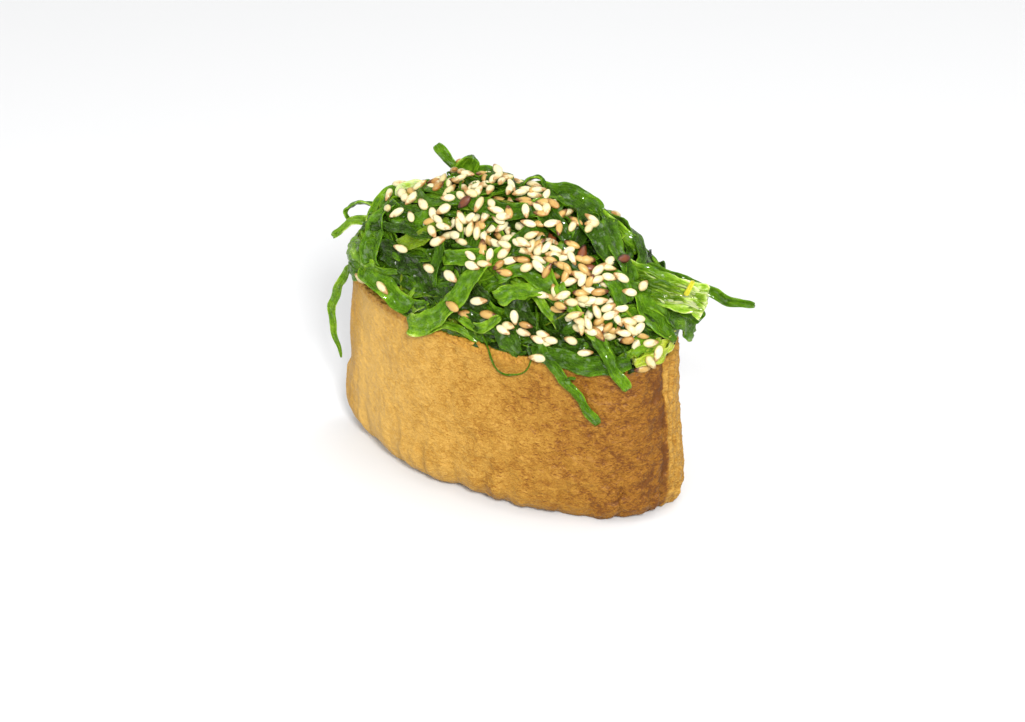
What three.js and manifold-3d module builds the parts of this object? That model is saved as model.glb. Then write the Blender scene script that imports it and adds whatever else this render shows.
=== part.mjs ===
// Inari sushi: a boat-shaped pouch of fried tofu, heaped with seaweed salad and sprinkled with sesame.
//
// Frame: millimetres, +Z up. The origin is the middle of the pouch's flat foot, +X runs along the pouch
// to its blunt end, and -Y is the side over which the long shreds hang.
import * as THREE from "three";
import { mergeVertices } from "three/addons/utils/BufferGeometryUtils.js";
import Module from "manifold-3d";

const wasm = await Module();
wasm.setup();

const { cos, sin, sign, abs, max, min, hypot, PI } = Math;
const degrees = PI / 180;
const vec = (x, y, z) => new THREE.Vector3(x, y, z);
const mix = (from, to, share) => from + (to - from) * share;

// ----------------------------------------------------------------------------------------------------
// Driving dimensions
// ----------------------------------------------------------------------------------------------------
const pouch = {
  height: 31.4,
  skin: 2.0, // thickness of the fried skin at the rim
  recess: 7, // how deep the salad sits below the rim
  foot: { halfLength: 34, halfWidth: 15.8, pointed: 0.85, blunt: 2.4 }, // outline at its widest, low down
  rim: { halfLength: 32.6, halfWidth: 12.2, pointed: 0.95, blunt: 5, shift: -0.3 },
  roundAtPoint: 6.6, // radius of the bottom edge at the pointed end
  roundAtBlunt: 3.6, // and at the blunt end
  dip: 0.9, // how far the rim sags in the middle of its front
  gap: 0.3, // clear space between the pouch and the salad
  around: 72, // points round the outline
};

const heap = {
  base: 30, // level from which the mound rises
  halfLength: 32.8,
  halfWidth: 12.4,
  height: 26,
  fullness: 2.3, // 2 is an ellipse, more is squarer
  pointedPlan: 2.0,
  bluntPlan: 3.2,
  lean: 2, // the crest lies this far behind the middle
  cover: 1.4, // thickness of the layer of shreds over the core
};

const shred = { thickness: 0.75, steps: 6, root: 2.2, wandering: 17 };

const seed = { length: 3.3, width: 2.0, thickness: 1.1, sides: 6, spacing: 2.3 };

/** Repeatable random numbers from 0 to 1. */
function dice(start) {
  let state = start >>> 0;
  return () => {
    state = (state + 0x6d2b79f5) >>> 0;
    let t = state;
    t = Math.imul(t ^ (t >>> 15), t | 1);
    t ^= t + Math.imul(t ^ (t >>> 7), t | 61);
    return ((t ^ (t >>> 14)) >>> 0) / 4294967296;
  };
}

// ----------------------------------------------------------------------------------------------------
// Solids
// ----------------------------------------------------------------------------------------------------

/**
 * A closed solid through rings of equal count. Each ring runs anticlockwise as seen from the last one.
 * The ends close on the middle of their ring, or on a tip where one is given.
 */
function skinned(rings, firstTip, lastTip) {
  const count = rings[0].length;
  const points = rings.flat();
  const index = [];
  for (let r = 0; r + 1 < rings.length; r++)
    for (let i = 0; i < count; i++) {
      const a = r * count + i;
      const b = r * count + ((i + 1) % count);
      index.push(a, b, b + count, a, b + count, a + count);
    }
  const middle = (ring) => ring.reduce((sum, p) => sum.add(p), vec(0, 0, 0)).divideScalar(count);
  const first = points.push(firstTip ?? middle(rings[0])) - 1;
  const last = points.push(lastTip ?? middle(rings.at(-1))) - 1;
  const top = (rings.length - 1) * count;
  for (let i = 0; i < count; i++) {
    const next = (i + 1) % count;
    index.push(first, next, i, last, top + i, top + next);
  }
  return new wasm.Manifold(
    new wasm.Mesh({
      numProp: 3,
      vertProperties: new Float32Array(points.flatMap((p) => [p.x, p.y, p.z])),
      triVerts: new Uint32Array(index),
    }),
  );
}

/** A three.js geometry with the triangles of a solid. */
function geometryOf(solid) {
  const mesh = solid.getMesh();
  const geometry = new THREE.BufferGeometry();
  geometry.setAttribute("position", new THREE.BufferAttribute(mesh.vertProperties, 3));
  geometry.setIndex(new THREE.BufferAttribute(mesh.triVerts, 1));
  return mergeVertices(geometry);
}

// ----------------------------------------------------------------------------------------------------
// Pouch of fried tofu
// ----------------------------------------------------------------------------------------------------

/** The pouch's outline at an angle: pointed at -X, where the skin is folded, and blunt at +X. */
function outlinePoint(angle, halfLength, halfWidth, pointed, blunt) {
  const along = cos(angle);
  const power = along > 0 ? blunt : 2;
  const width = (1 - abs(along) ** power) ** (along > 0 ? 0.5 : pointed);
  return [halfLength * along, halfWidth * sign(sin(angle)) * width];
}

/**
 * How far the skin stands out at an angle and a share of the height: dents all round, a wavy hem, folds
 * at the blunt end and a heel at the pointed one.
 */
function wrinkle(angle, up) {
  const low = (1 - up) ** 2;
  const end = max(0, cos(angle)) ** 3;
  const heel = 0.9 * max(0, -cos(angle)) ** 12 * min(1, max(0, (0.28 - up) / 0.16));
  const hem = 0.32 * sin(9 * angle + 0.8) + 0.22 * sin(17 * angle + 2);
  const dents = 0.3 * sin(5 * angle + 7 * up) + 0.18 * sin(13 * angle - 5 * up);
  const folds = 0.4 * end * sin(34 * angle + 2 * up);
  return hem * low + dents * (0.35 + up * (1 - up)) + folds + heel;
}

/** One ring of the pouch's outside, from foot (up = 0) to rim (up = 1), pushed out by grow. */
function wallRing(up, grow = 0) {
  const ease = 0.5 * up + 0.5 * up * up * (3 - 2 * up);
  const { foot, rim, around } = pouch;
  return Array.from({ length: around }, (_, i) => {
    const angle = (i / around) * 2 * PI;
    const round = mix(pouch.roundAtPoint, pouch.roundAtBlunt, (1 + cos(angle)) / 2);
    const top = pouch.height - pouch.dip * max(0, -sin(angle - 0.35)) ** 2;
    const [x, y] = outlinePoint(
      angle,
      mix(foot.halfLength, rim.halfLength, ease),
      mix(foot.halfWidth, rim.halfWidth, ease),
      mix(foot.pointed, rim.pointed, ease),
      mix(foot.blunt, rim.blunt, ease),
    );
    const reach = (hypot(x, y) + wrinkle(angle, up) + grow) / hypot(x, y);
    return vec(x * reach + rim.shift * up, y * reach, mix(round, top, up) + grow * (up === 1));
  });
}

/** The rings of the rounded bottom edge, from the flat foot up to the widest level. */
function bottomRings(grow = 0) {
  const widest = wallRing(0, grow);
  return [0, 22, 45, 68].map((turn) =>
    widest.map((p) => {
      const round = p.z;
      const inset = round * (1 - sin(turn * degrees));
      const reach = (hypot(p.x, p.y) - inset) / hypot(p.x, p.y);
      return vec(p.x * reach, p.y * reach, round * (1 - cos(turn * degrees)));
    }),
  );
}

/** The rim ring drawn in by an amount and lifted by another. */
function rimRing(inset, lift) {
  return wallRing(1).map((p) => {
    const drawn = inset * mix(1.5, 1, abs(p.y) / pouch.rim.halfWidth);
    const reach = (hypot(p.x, p.y) - drawn) / hypot(p.x, p.y);
    return vec(p.x * reach, p.y * reach, p.z + lift);
  });
}

/** The edge of the recess's level floor, drawn in from the rim and lifted. */
function floorRing(inset, lift = 0) {
  return rimRing(inset, 0).map((p) => vec(p.x, p.y, pouch.height - pouch.recess + lift));
}

const wallLevels = [0, 0.14, 0.3, 0.46, 0.62, 0.8, 1];

/** The pouch, solid below its recess. With grow it is the space that the salad keeps clear of. */
function pouchSolid(grow = 0) {
  return skinned([
    ...bottomRings(grow),
    ...wallLevels.map((up) => wallRing(up, grow)),
    rimRing(pouch.skin * 0.45 - grow * 0.5, 0.35 + grow),
    rimRing(pouch.skin + grow, grow - 0.3),
    floorRing(pouch.skin + 0.6 + grow, grow),
  ]);
}

// ----------------------------------------------------------------------------------------------------
// Mound of salad: the surface that the shreds and seeds lie on
// ----------------------------------------------------------------------------------------------------

/** How far out a point is from the mound's heart: 1 on its surface, less inside. */
function heapGauge(p) {
  const along = p.x / heap.halfLength;
  const height = heap.height * (1 - 0.06 * along - 0.1 * along * along);
  const up = max(0, p.z - heap.base) / height;
  const power = p.x > 0 ? heap.bluntPlan : heap.pointedPlan;
  const plan = (abs(along) ** power + abs((p.y - heap.lean * up) / heap.halfWidth) ** power) ** (1 / power);
  return (plan ** heap.fullness + up ** heap.fullness) ** (1 / heap.fullness);
}

/** The point moved straight towards or away from the mound's heart until it is on its surface. */
function ontoHeap(p) {
  const heart = vec(0, 0, heap.base);
  const out = p.clone().sub(heart);
  for (let i = 0; i < 6; i++) out.divideScalar(heapGauge(out.clone().add(heart)));
  return out.add(heart);
}

/** The mound's outward direction at a point. */
function heapNormal(p) {
  const step = 0.05;
  const at = (axis, way) => heapGauge(p.clone().addScaledVector(axis, way * step));
  const slope = (axis) => at(axis, 1) - at(axis, -1);
  return vec(slope(vec(1, 0, 0)), slope(vec(0, 1, 0)), slope(vec(0, 0, 1))).normalize();
}

/** A point on the mound: a place along it and a turn round its long axis, 0 at the front, 90 at the crest. */
function heapPoint(along, turn) {
  const direction = vec(0, -cos(turn * degrees), sin(turn * degrees));
  let near = 0;
  let far = 60;
  for (let i = 0; i < 24; i++) {
    const middle = (near + far) / 2;
    if (heapGauge(vec(along, 0, heap.base).addScaledVector(direction, middle)) < 1) near = middle;
    else far = middle;
  }
  return vec(along, 0, heap.base).addScaledVector(direction, near);
}

/** The core that carries the shreds: it fills the recess and rises under the mound's surface. */
function coreSolid() {
  const clear = pouch.gap + 0.1;
  const rings = [
    floorRing(pouch.skin + 0.6 + clear, clear),
    rimRing(pouch.skin + clear, -0.3),
  ].map((ring) => ring.filter((_, i) => i % 3 === 0));
  const count = rings[0].length;
  for (const climb of [10, 26, 42, 57, 73])
    rings.push(
      Array.from({ length: count }, (_, i) => {
        const angle = (i / count) * 2 * PI;
        const [x, y] = outlinePoint(angle, heap.halfLength - 2, heap.halfWidth - 1.5, 0.5, 3);
        const outward = cos(climb * degrees);
        const p = ontoHeap(vec(x * outward, y * outward, heap.base + heap.height * sin(climb * degrees)));
        const bumps = 0.4 * sin(7 * angle + climb / 9) + 0.3 * sin(12 * angle - climb / 5);
        return p.addScaledVector(heapNormal(p), bumps - heap.cover);
      }),
    );
  return skinned(rings);
}

// ----------------------------------------------------------------------------------------------------
// Shreds of seaweed
// ----------------------------------------------------------------------------------------------------

/** A ribbon along a line of points. faces gives the direction of its flat side at each point. */
function ribbon(points, faces, width, thickness, twist = 0) {
  return skinned(
    points.map((p, i) => {
      const share = i / (points.length - 1);
      const ahead = points[min(i + 1, points.length - 1)].clone().sub(points[max(i - 1, 0)]).normalize();
      const flat = faces[i].clone().addScaledVector(ahead, -faces[i].dot(ahead)).normalize();
      flat.applyAxisAngle(ahead, twist * (share - 0.5));
      const side = flat.clone().cross(ahead);
      const taper = 1 - 0.35 * abs(2 * share - 1) ** 3;
      const corner = ([s, f]) =>
        p
          .clone()
          .addScaledVector(side, (s * width * taper) / 2)
          .addScaledVector(flat, (f * thickness) / 2);
      return [[1, 1], [-1, 1], [-1, -1], [1, -1]].map(corner);
    }),
  );
}

/**
 * A shred that wanders over the mound with its ends rooted in the core. share puts it between the front
 * rim and the back rim.
 */
function wanderingShred(share, random) {
  const along = mix(-29, 29, random());
  const turn = mix(12, 166, share);
  const length = mix(14, 30, random());
  const width = mix(1.6, 3.4, random());
  const arch = mix(0.1, 1.5, random());
  const curl = mix(-1.6, 1.6, random());
  const twist = mix(-1.8, 1.8, random());
  let heading = mix(-0.9, 0.9, random()) + (random() < 0.25 ? PI / 2 : 0);
  let p = heapPoint(along, turn);
  const points = [];
  const faces = [];
  for (let i = 0; i <= shred.steps; i++) {
    const out = heapNormal(p);
    const level = vec(0, 0, 1).cross(out).normalize();
    const uphill = out.clone().cross(level);
    const rooted = i === 0 || i === shred.steps;
    const lift = rooted ? -shred.root : arch * sin((PI * i) / shred.steps) - 0.5;
    points.push(p.clone().addScaledVector(out, lift));
    faces.push(out);
    const stride = level.multiplyScalar(cos(heading)).addScaledVector(uphill, sin(heading));
    p = ontoHeap(p.clone().addScaledVector(stride, length / shred.steps));
    p.z = max(p.z, heap.base + 2.5);
    heading += curl / shred.steps;
  }
  return ribbon(points, faces, width, shred.thickness, twist);
}

// The shreds that stand out of the tangle or hang over the rim: [x, y, z] along each, its width, and
// the direction of its flat side where that isn't simply away from the mound.
const placedShreds = [
  // on the crest, from the spike at the pointed side to the broad leaf that falls to the blunt side
  {
    width: 2,
    face: [0.3, -0.9, 0.5],
    line: [[-8, 4, 53], [-12.5, 4.8, 55.8], [-15, 4.9, 57], [-17, 5, 59]],
  },
  { width: 4, face: [0.4, -0.9, 0.2], line: [[-11.2, 5, 53], [-11, 5.4, 56], [-10, 5.6, 58.4]] },
  {
    width: 2.2,
    face: [0.3, -0.5, 0.8],
    line: [[-10.4, 5.2, 56.2], [-7.9, 5.8, 57], [-5.4, 5.8, 56], [-1, 3, 55.4]],
  },
  {
    width: 2.6,
    line: [[-6.2, -3.5, 55], [-3.2, -4.7, 54.6], [0.6, -5, 54.4], [4.9, -4, 54.7], [8, -1.4, 55.2]],
  },
  {
    width: 4.4,
    line: [[3.3, 1.3, 56], [5.4, 6, 55], [9.7, 7, 55.2], [13.6, 6.6, 53], [18.4, 2, 51.8]],
  },
  { width: 4, line: [[15, 6.5, 51.8], [18.4, 7.3, 50.4], [21.3, 7.4, 48.3], [23.6, 7.4, 46.6]] },
  // round the pointed end
  {
    width: 1,
    line: [[-26, 1, 44.5], [-29, 1.6, 46], [-32, 1.5, 45.4], [-34.2, 1.4, 43.5], [-33.4, 1.3, 41.8]],
  },
  {
    width: 1.6,
    face: [0.2, -0.8, 0.6],
    line: [[-23.5, -0.5, 43], [-29.5, 0, 43.4], [-33.5, 0, 41.2], [-36.3, 0, 38.2]],
  },
  {
    width: 1.6,
    face: [0.3, -0.9, 0.2],
    line: [
      [-28, -4.5, 36.5], [-31.5, -2.4, 34], [-34.2, -1.6, 29.8],
      [-36, -1.2, 25.2], [-36.6, -1, 21], [-34.7, -1.2, 13.6],
    ],
  },
  {
    width: 3,
    face: [-0.3, -0.7, 0.6],
    line: [[-26.5, -4, 43], [-28.3, 0.5, 45.6], [-27, 1.7, 49], [-24.6, 2.3, 50.6]],
  },
  {
    width: 2.5,
    line: [
      [-23.8, -6.4, 42.9], [-30.2, -3.9, 38.8], [-31.7, -1.9, 35], [-28.3, -6.4, 35.6],
      [-22, -8.3, 38.4],
    ],
  },
  {
    width: 3,
    line: [[-27, -6.8, 36.6], [-22.7, -9.1, 37.7], [-17.5, -10.9, 36], [-12.6, -12.1, 33.3]],
  },
  // down the front
  {
    width: 3.4,
    line: [
      [-0.9, -10.2, 46], [-3.2, -11.7, 41.6], [-6.5, -12.7, 37.5], [-10.8, -12.7, 33],
      [-14.3, -11.7, 29.4],
    ],
  },
  {
    width: 1.6,
    line: [
      [-10.8, -11.8, 33.6], [-8.6, -12.5, 32.2], [-4.6, -12.6, 33], [-0.5, -12.2, 33],
      [2.6, -10.9, 34],
    ],
  },
  { width: 2.6, line: [[-7, -10.3, 45.7], [-3, -10.4, 46.9], [0.9, -9.8, 47.2], [4.7, -8.3, 49]] },
  { width: 2, line: [[-8.9, -8.6, 47.7], [-9, -10.4, 44.2], [-9.4, -11, 39.8]] },
  { width: 2.5, line: [[3.4, -11.7, 41], [7.4, -11.2, 43], [12, -10.4, 43.8]] },
  {
    width: 2.2,
    line: [[15, -10.2, 45.3], [17.8, -11.1, 42.5], [20.4, -11.4, 39.9], [22.8, -11.2, 37.2]],
  },
  {
    width: 2,
    face: [0.15, -1, 0.1],
    line: [[11.5, -11.5, 35], [14.9, -13, 31.4], [19.6, -13.2, 26.9], [23.9, -12.6, 21.2]],
  },
  {
    width: 2.2,
    face: [0.4, -0.9, 0.3],
    line: [[22.5, -10.4, 38], [24.9, -11.2, 34.2], [26.8, -11.1, 31], [28.7, -10.5, 28.6]],
  },
  {
    width: 3.2,
    face: [0.1, -1, 0.3],
    line: [[12, -12.2, 33], [18.5, -12.2, 32.2], [24, -11.3, 32.2], [28.6, -9.5, 33.2]],
  },
  // the bundle of stems, the long shred behind it and the leaves at the blunt end
  {
    width: 2.2,
    face: [0, -1, 0.2],
    thickness: 1.6,
    line: [[23, 0, 47], [30.5, 1.5, 46], [37.4, 2.5, 45]],
  },
  {
    width: 2.4,
    face: [0, -1, 0.2],
    thickness: 1.8,
    line: [[23.5, -1.5, 45.4], [30.6, 0.9, 43.9], [38, 2.5, 43]],
  },
  {
    width: 2.2,
    face: [0, -1, 0.2],
    thickness: 1.6,
    line: [[24, -3, 43.6], [30.5, 0.2, 42], [37.1, 2.5, 40.8]],
  },
  {
    width: 1.7,
    face: [0, -0.7, 0.7],
    line: [[25, 3.4, 45.6], [32.7, 5.4, 44.4], [38.3, 6, 42.5], [42.4, 6, 41.2], [44.8, 6.2, 41.2]],
  },
  { width: 3.5, line: [[28.6, -2.5, 42.5], [32, 0, 38.8], [33.6, 2.8, 35.8], [34.1, 4.5, 33]] },
  { width: 2.6, line: [[30, -7, 34.4], [32.2, -5.6, 34.2], [33.2, -3.4, 34.7], [33.2, -0.4, 35]] },
  { width: 3.5, line: [[22.6, -5.6, 47], [24.8, -6.4, 45.4], [26.4, -6.7, 43.2]] },
];

/** A placed shred as a ribbon along a smooth curve through its points, its first end rooted in the core. */
function placedShred({ line, width, face, thickness = shred.thickness, twist = 0 }) {
  const start = vec(...line[0]);
  const root = start.clone().addScaledVector(heapNormal(start), -shred.root);
  const curve = new THREE.CatmullRomCurve3([root, ...line.map((p) => vec(...p))]);
  const points = curve.getSpacedPoints(shred.steps);
  const faces = points.map((p) => (face ? vec(...face) : heapNormal(p)));
  return ribbon(points, faces, width, thickness, twist);
}

// ----------------------------------------------------------------------------------------------------
// Sesame
// ----------------------------------------------------------------------------------------------------

// Where the seeds fall: the middle of each patch along the mound and its turn round it, how far the
// seeds spread from there in millimetres and degrees, and how many there are.
const sprinkles = [
  { along: -12, turn: 88, spread: [7, 9], count: 17 },
  { along: -3, turn: 73, spread: [5, 6], count: 11 },
  { along: 8, turn: 85, spread: [7, 8], count: 17 },
  { along: 13, turn: 66, spread: [6, 8], count: 15 },
  { along: 21, turn: 52, spread: [6, 9], count: 14 },
  { along: 28, turn: 44, spread: [2.5, 7], count: 6 },
  { along: 21, turn: 78, spread: [4, 6], count: 5 },
  { along: 8, turn: 30, spread: [9, 7], count: 6 },
  { along: -17, turn: 52, spread: [8, 13], count: 5 },
  { along: 0, turn: 116, spread: [14, 9], count: 6 },
];

/** A flattened, drop-shaped seed: its middle, the way its point looks and the way its flat side looks. */
function seedSolid(middle, ahead, flat) {
  const side = flat.clone().cross(ahead);
  const at = (share) => middle.clone().addScaledVector(ahead, share * seed.length);
  const ring = (share, fullness) =>
    Array.from({ length: seed.sides }, (_, i) => {
      const turn = (i / seed.sides) * 2 * PI;
      return at(share)
        .addScaledVector(side, (fullness * seed.width * cos(turn)) / 2)
        .addScaledVector(flat, (fullness * seed.thickness * sin(turn)) / 2);
    });
  return skinned([ring(-0.22, 1), ring(0.22, 0.8)], at(-0.5), at(0.5));
}

/** Seeds that lie where rays towards the mound meet the shreds, spaced out and clear of the pouch. */
function sprinkledSeeds(surface, pouchSpace, random) {
  const bell = () => random() + random() + random() - 1.5;
  const ray = new THREE.Raycaster();
  const middles = [];
  const solids = [];
  for (const { along, turn, spread, count } of sprinkles) {
    let left = count;
    for (let tries = 0; left > 0 && tries < 12 * count; tries++) {
      const target = heapPoint(along + 1.6 * spread[0] * bell(), turn + 1.6 * spread[1] * bell());
      const heading = 2 * PI * random();
      const out = heapNormal(target);
      ray.set(target.clone().addScaledVector(out, 6), out.clone().negate());
      const [hit] = ray.intersectObject(surface);
      if (!hit || middles.some((p) => p.distanceTo(hit.point) < seed.spacing)) continue;
      const flat = out.clone().add(hit.face.normal).normalize();
      const ahead = vec(cos(heading), sin(heading), 0);
      ahead.addScaledVector(flat, -ahead.dot(flat)).normalize();
      const solid = seedSolid(hit.point.clone().addScaledVector(flat, seed.thickness * 0.3), ahead, flat);
      if (!solid.intersect(pouchSpace).isEmpty()) continue;
      middles.push(hit.point);
      solids.push(solid);
      left--;
    }
  }
  return solids;
}

// ----------------------------------------------------------------------------------------------------
// The model
// ----------------------------------------------------------------------------------------------------

/** All solids joined into one. */
const joined = (solids) => solids.reduce((whole, solid) => whole.add(solid));

const random = dice(15);
const pouchSpace = pouchSolid(pouch.gap);
const wandering = Array.from({ length: shred.wandering }, (_, i) =>
  wanderingShred((i + random()) / shred.wandering, random),
);
const tangle = joined([coreSolid(), ...wandering, ...placedShreds.map(placedShred)])
  .subtract(pouchSpace)
  .decompose()
  .reduce((largest, body) => (body.volume() > largest.volume() ? body : largest));
const seeds = sprinkledSeeds(new THREE.Mesh(geometryOf(tangle)), pouchSpace, random);
const salad = joined([tangle, ...seeds]);

const sushi = new THREE.Group();
const tofuMesh = new THREE.Mesh(
  geometryOf(pouchSolid()),
  new THREE.MeshStandardMaterial({ color: 0xc98a35, roughness: 0.7, metalness: 0 }),
);
tofuMesh.name = "tofu_pouch";
const saladMesh = new THREE.Mesh(
  geometryOf(salad),
  new THREE.MeshStandardMaterial({ color: 0x2f7a1a, roughness: 0.25, metalness: 0 }),
);
saladMesh.name = "seaweed_salad";
sushi.add(tofuMesh, saladMesh);
export default sushi;
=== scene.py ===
"""Inari sushi: a pouch of fried tofu heaped with seaweed salad and sesame, on a pale floor."""

from __future__ import annotations

import logging
import math
from collections.abc import Sequence
from dataclasses import astuple, dataclass
from enum import Enum

import bpy
import numpy as np
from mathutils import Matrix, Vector
from mathutils.bvhtree import BVHTree

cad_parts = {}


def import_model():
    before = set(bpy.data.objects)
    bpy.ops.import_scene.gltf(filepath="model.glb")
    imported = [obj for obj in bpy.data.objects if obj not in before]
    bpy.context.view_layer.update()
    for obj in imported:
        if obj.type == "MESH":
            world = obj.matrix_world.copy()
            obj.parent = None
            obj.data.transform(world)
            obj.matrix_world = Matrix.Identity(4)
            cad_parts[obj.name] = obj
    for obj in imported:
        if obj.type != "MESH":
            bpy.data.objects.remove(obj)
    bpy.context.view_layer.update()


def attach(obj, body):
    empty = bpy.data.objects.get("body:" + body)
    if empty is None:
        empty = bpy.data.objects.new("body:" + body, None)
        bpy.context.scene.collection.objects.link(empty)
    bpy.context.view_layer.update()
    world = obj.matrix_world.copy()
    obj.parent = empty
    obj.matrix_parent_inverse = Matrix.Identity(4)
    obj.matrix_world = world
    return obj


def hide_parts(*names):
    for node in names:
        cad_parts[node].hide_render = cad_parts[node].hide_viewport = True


LOG = logging.getLogger("inari")

MM = 0.001  # every size below is in millimetres, the scene is in metres

Array = np.ndarray
Numbers = Sequence[float]
Colour = tuple[float, float, float]
Stops = tuple[tuple[float, Colour], ...]
Faces = list[tuple[int, ...]]


# --- Shader sockets and node trees ---


class Wire:
    """A shader socket on which Python arithmetic adds Math nodes."""

    def __init__(self, recipe: Recipe, socket: bpy.types.NodeSocket) -> None:
        """Wraps a socket of the recipe's node tree."""
        self.recipe = recipe
        self.socket = socket

    def _math(self, operation: str, first: Value, second: Value) -> Wire:
        """The value of a new Math node with that operation and those operands."""
        return self.recipe.node("ShaderNodeMath", {0: first, 1: second}, operation=operation)

    def __add__(self, other: Value) -> Wire:
        """self + other."""
        return self._math("ADD", self, other)

    def __sub__(self, other: Value) -> Wire:
        """self - other."""
        return self._math("SUBTRACT", self, other)

    def __rsub__(self, other: Value) -> Wire:
        """other - self."""
        return self._math("SUBTRACT", other, self)

    def __mul__(self, other: Value) -> Wire:
        """self * other."""
        return self._math("MULTIPLY", self, other)

    def __pow__(self, other: Value) -> Wire:
        """self ** other."""
        return self._math("POWER", self, other)

    __radd__ = __add__
    __rmul__ = __mul__

    def size(self) -> Wire:
        """The value without its sign."""
        return self._math("ABSOLUTE", self, 0.0)

    def at_least(self, low: float) -> Wire:
        """The value, but never below low."""
        return self._math("MAXIMUM", self, low)

    def off(self, amount: float) -> Wire:
        """How far the value is from the middle, 0.5, times an amount."""
        return (self - 0.5) * amount

    def ease(self, low: float, high: float) -> Wire:
        """A smooth step from 0 at low to 1 at high."""
        inputs = {"Value": self, "From Min": low, "From Max": high}
        return self.recipe.node("ShaderNodeMapRange", inputs, interpolation_type="SMOOTHSTEP")


Value = Wire | float | Numbers


@dataclass(frozen=True)
class Pattern:
    """A cloudy noise.

    Attributes:
        scale: how many lumps fall on a millimetre.
        detail: how many finer octaves it has.
        rough: how strong they are.
        swirl: how far it is stirred.
        stretch: what its coordinates are multiplied by.
        turn: how far they are turned about the vertical, in degrees.
    """

    scale: float
    detail: float = 3.0
    rough: float = 0.55
    swirl: float = 0.0
    stretch: tuple[float, float, float] = (1, 1, 1)
    turn: float = 0.0


class Recipe:
    """The node tree of one material, round one Principled shader."""

    def __init__(self, name: str) -> None:
        """Starts an empty material of that name."""
        self.material = bpy.data.materials.new(name)
        self.material.use_nodes = True
        self.tree = self.material.node_tree
        self.tree.nodes.clear()
        self.shader = self.tree.nodes.new("ShaderNodeBsdfPrincipled")
        surface = self.tree.nodes.new("ShaderNodeOutputMaterial")
        self.tree.links.new(self.shader.outputs[0], surface.inputs["Surface"])

    def feed(self, socket: bpy.types.NodeSocket, value: Value) -> None:
        """Links a wire to a socket, or sets the socket to a plain value."""
        if isinstance(value, Wire):
            self.tree.links.new(value.socket, socket)
        elif socket.type == "RGBA" and len(value) == 3:
            socket.default_value = (*value, 1.0)
        else:
            socket.default_value = value

    def node(
        self,
        kind: str,
        inputs: dict[str | int, Value],
        output: str | int = 0,
        **settings: object,
    ) -> Wire:
        """Adds a node.

        Args:
            kind: the node's type.
            inputs: values or wires of its sockets, by name or number.
            output: the socket to return.
            **settings: the node's own settings, such as a Math node's operation.

        Returns:
            The output as a wire.
        """
        node = self.tree.nodes.new(kind)
        for name, setting in settings.items():
            setattr(node, name, setting)
        for name, value in inputs.items():
            self.feed(node.inputs[name], value)
        return Wire(self, node.outputs[output])

    def ramp(self, share: Wire, stops: Stops) -> Wire:
        """The colour at a share of the way through the stops."""
        colour = self.node("ShaderNodeValToRGB", {0: share})
        elements = colour.socket.node.color_ramp.elements
        while len(elements) < len(stops):
            elements.new(1.0)
        for element, (place, shade) in zip(elements, stops):
            element.position = place
            element.color = (*shade, 1.0)
        return colour

    def set(self, **sockets: Value) -> None:
        """Sets the shader's sockets, each named with _ for a space."""
        for name, value in sockets.items():
            self.feed(self.shader.inputs[name.replace("_", " ")], value)

    def place(
        self,
        stretch: Numbers = (1, 1, 1),
        turn: float = 0.0,
        lift: float = 0.0,
        uv: Wire | None = None,
    ) -> Wire:
        """The point of the piece in millimetres.

        Args:
            stretch: what the coordinates are multiplied by.
            turn: how far they are turned about the vertical, in degrees.
            lift: how far above the point they are read.
            uv: other coordinates, to use in place of the piece's own.

        Returns:
            The coordinates.
        """
        step = 1.0 if uv else MM
        return self.node(
            "ShaderNodeMapping",
            {
                "Vector": uv or self.node("ShaderNodeTexCoord", {}, output="Object"),
                "Location": (0, 0, lift),
                "Rotation": (0, 0, math.radians(turn)),
                "Scale": tuple(share / step for share in stretch),
            },
        )

    def noise(self, pattern: Pattern, lift: float = 0.0, uv: Wire | None = None) -> Wire:
        """Cloudy noise.

        Args:
            pattern: what it looks like.
            lift: how far above the point it is read.
            uv: other coordinates, to use in place of the piece's own.

        Returns:
            The noise, about 0.5.
        """
        inputs = {
            "Vector": self.place(pattern.stretch, pattern.turn, lift, uv),
            "Scale": pattern.scale,
            "Detail": pattern.detail,
            "Roughness": pattern.rough,
            "Distortion": pattern.swirl,
        }
        return self.node("ShaderNodeTexNoise", inputs)

    def attribute(self, name: str) -> Wire:
        """The value of a point attribute of the piece."""
        return self.node("ShaderNodeAttribute", {}, output="Fac", attribute_name=name)

    def mix(self, share: Value, first: Value, second: Value) -> Wire:
        """The first colour where share is 0, the second where it is 1."""
        return self.node("ShaderNodeMix", {0: share, 6: first, 7: second}, 2, data_type="RGBA")

    def bump(self, height: Wire, depth: float, strength: float = 1.0) -> Wire:
        """The normal of a relief.

        Args:
            height: the relief, from 0 to 1.
            depth: its depth in millimetres.
            strength: how much of it shows.

        Returns:
            The normal.
        """
        inputs = {"Height": height, "Distance": depth * MM, "Strength": strength}
        return self.node("ShaderNodeBump", inputs)


# --- Finishes ---


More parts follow.
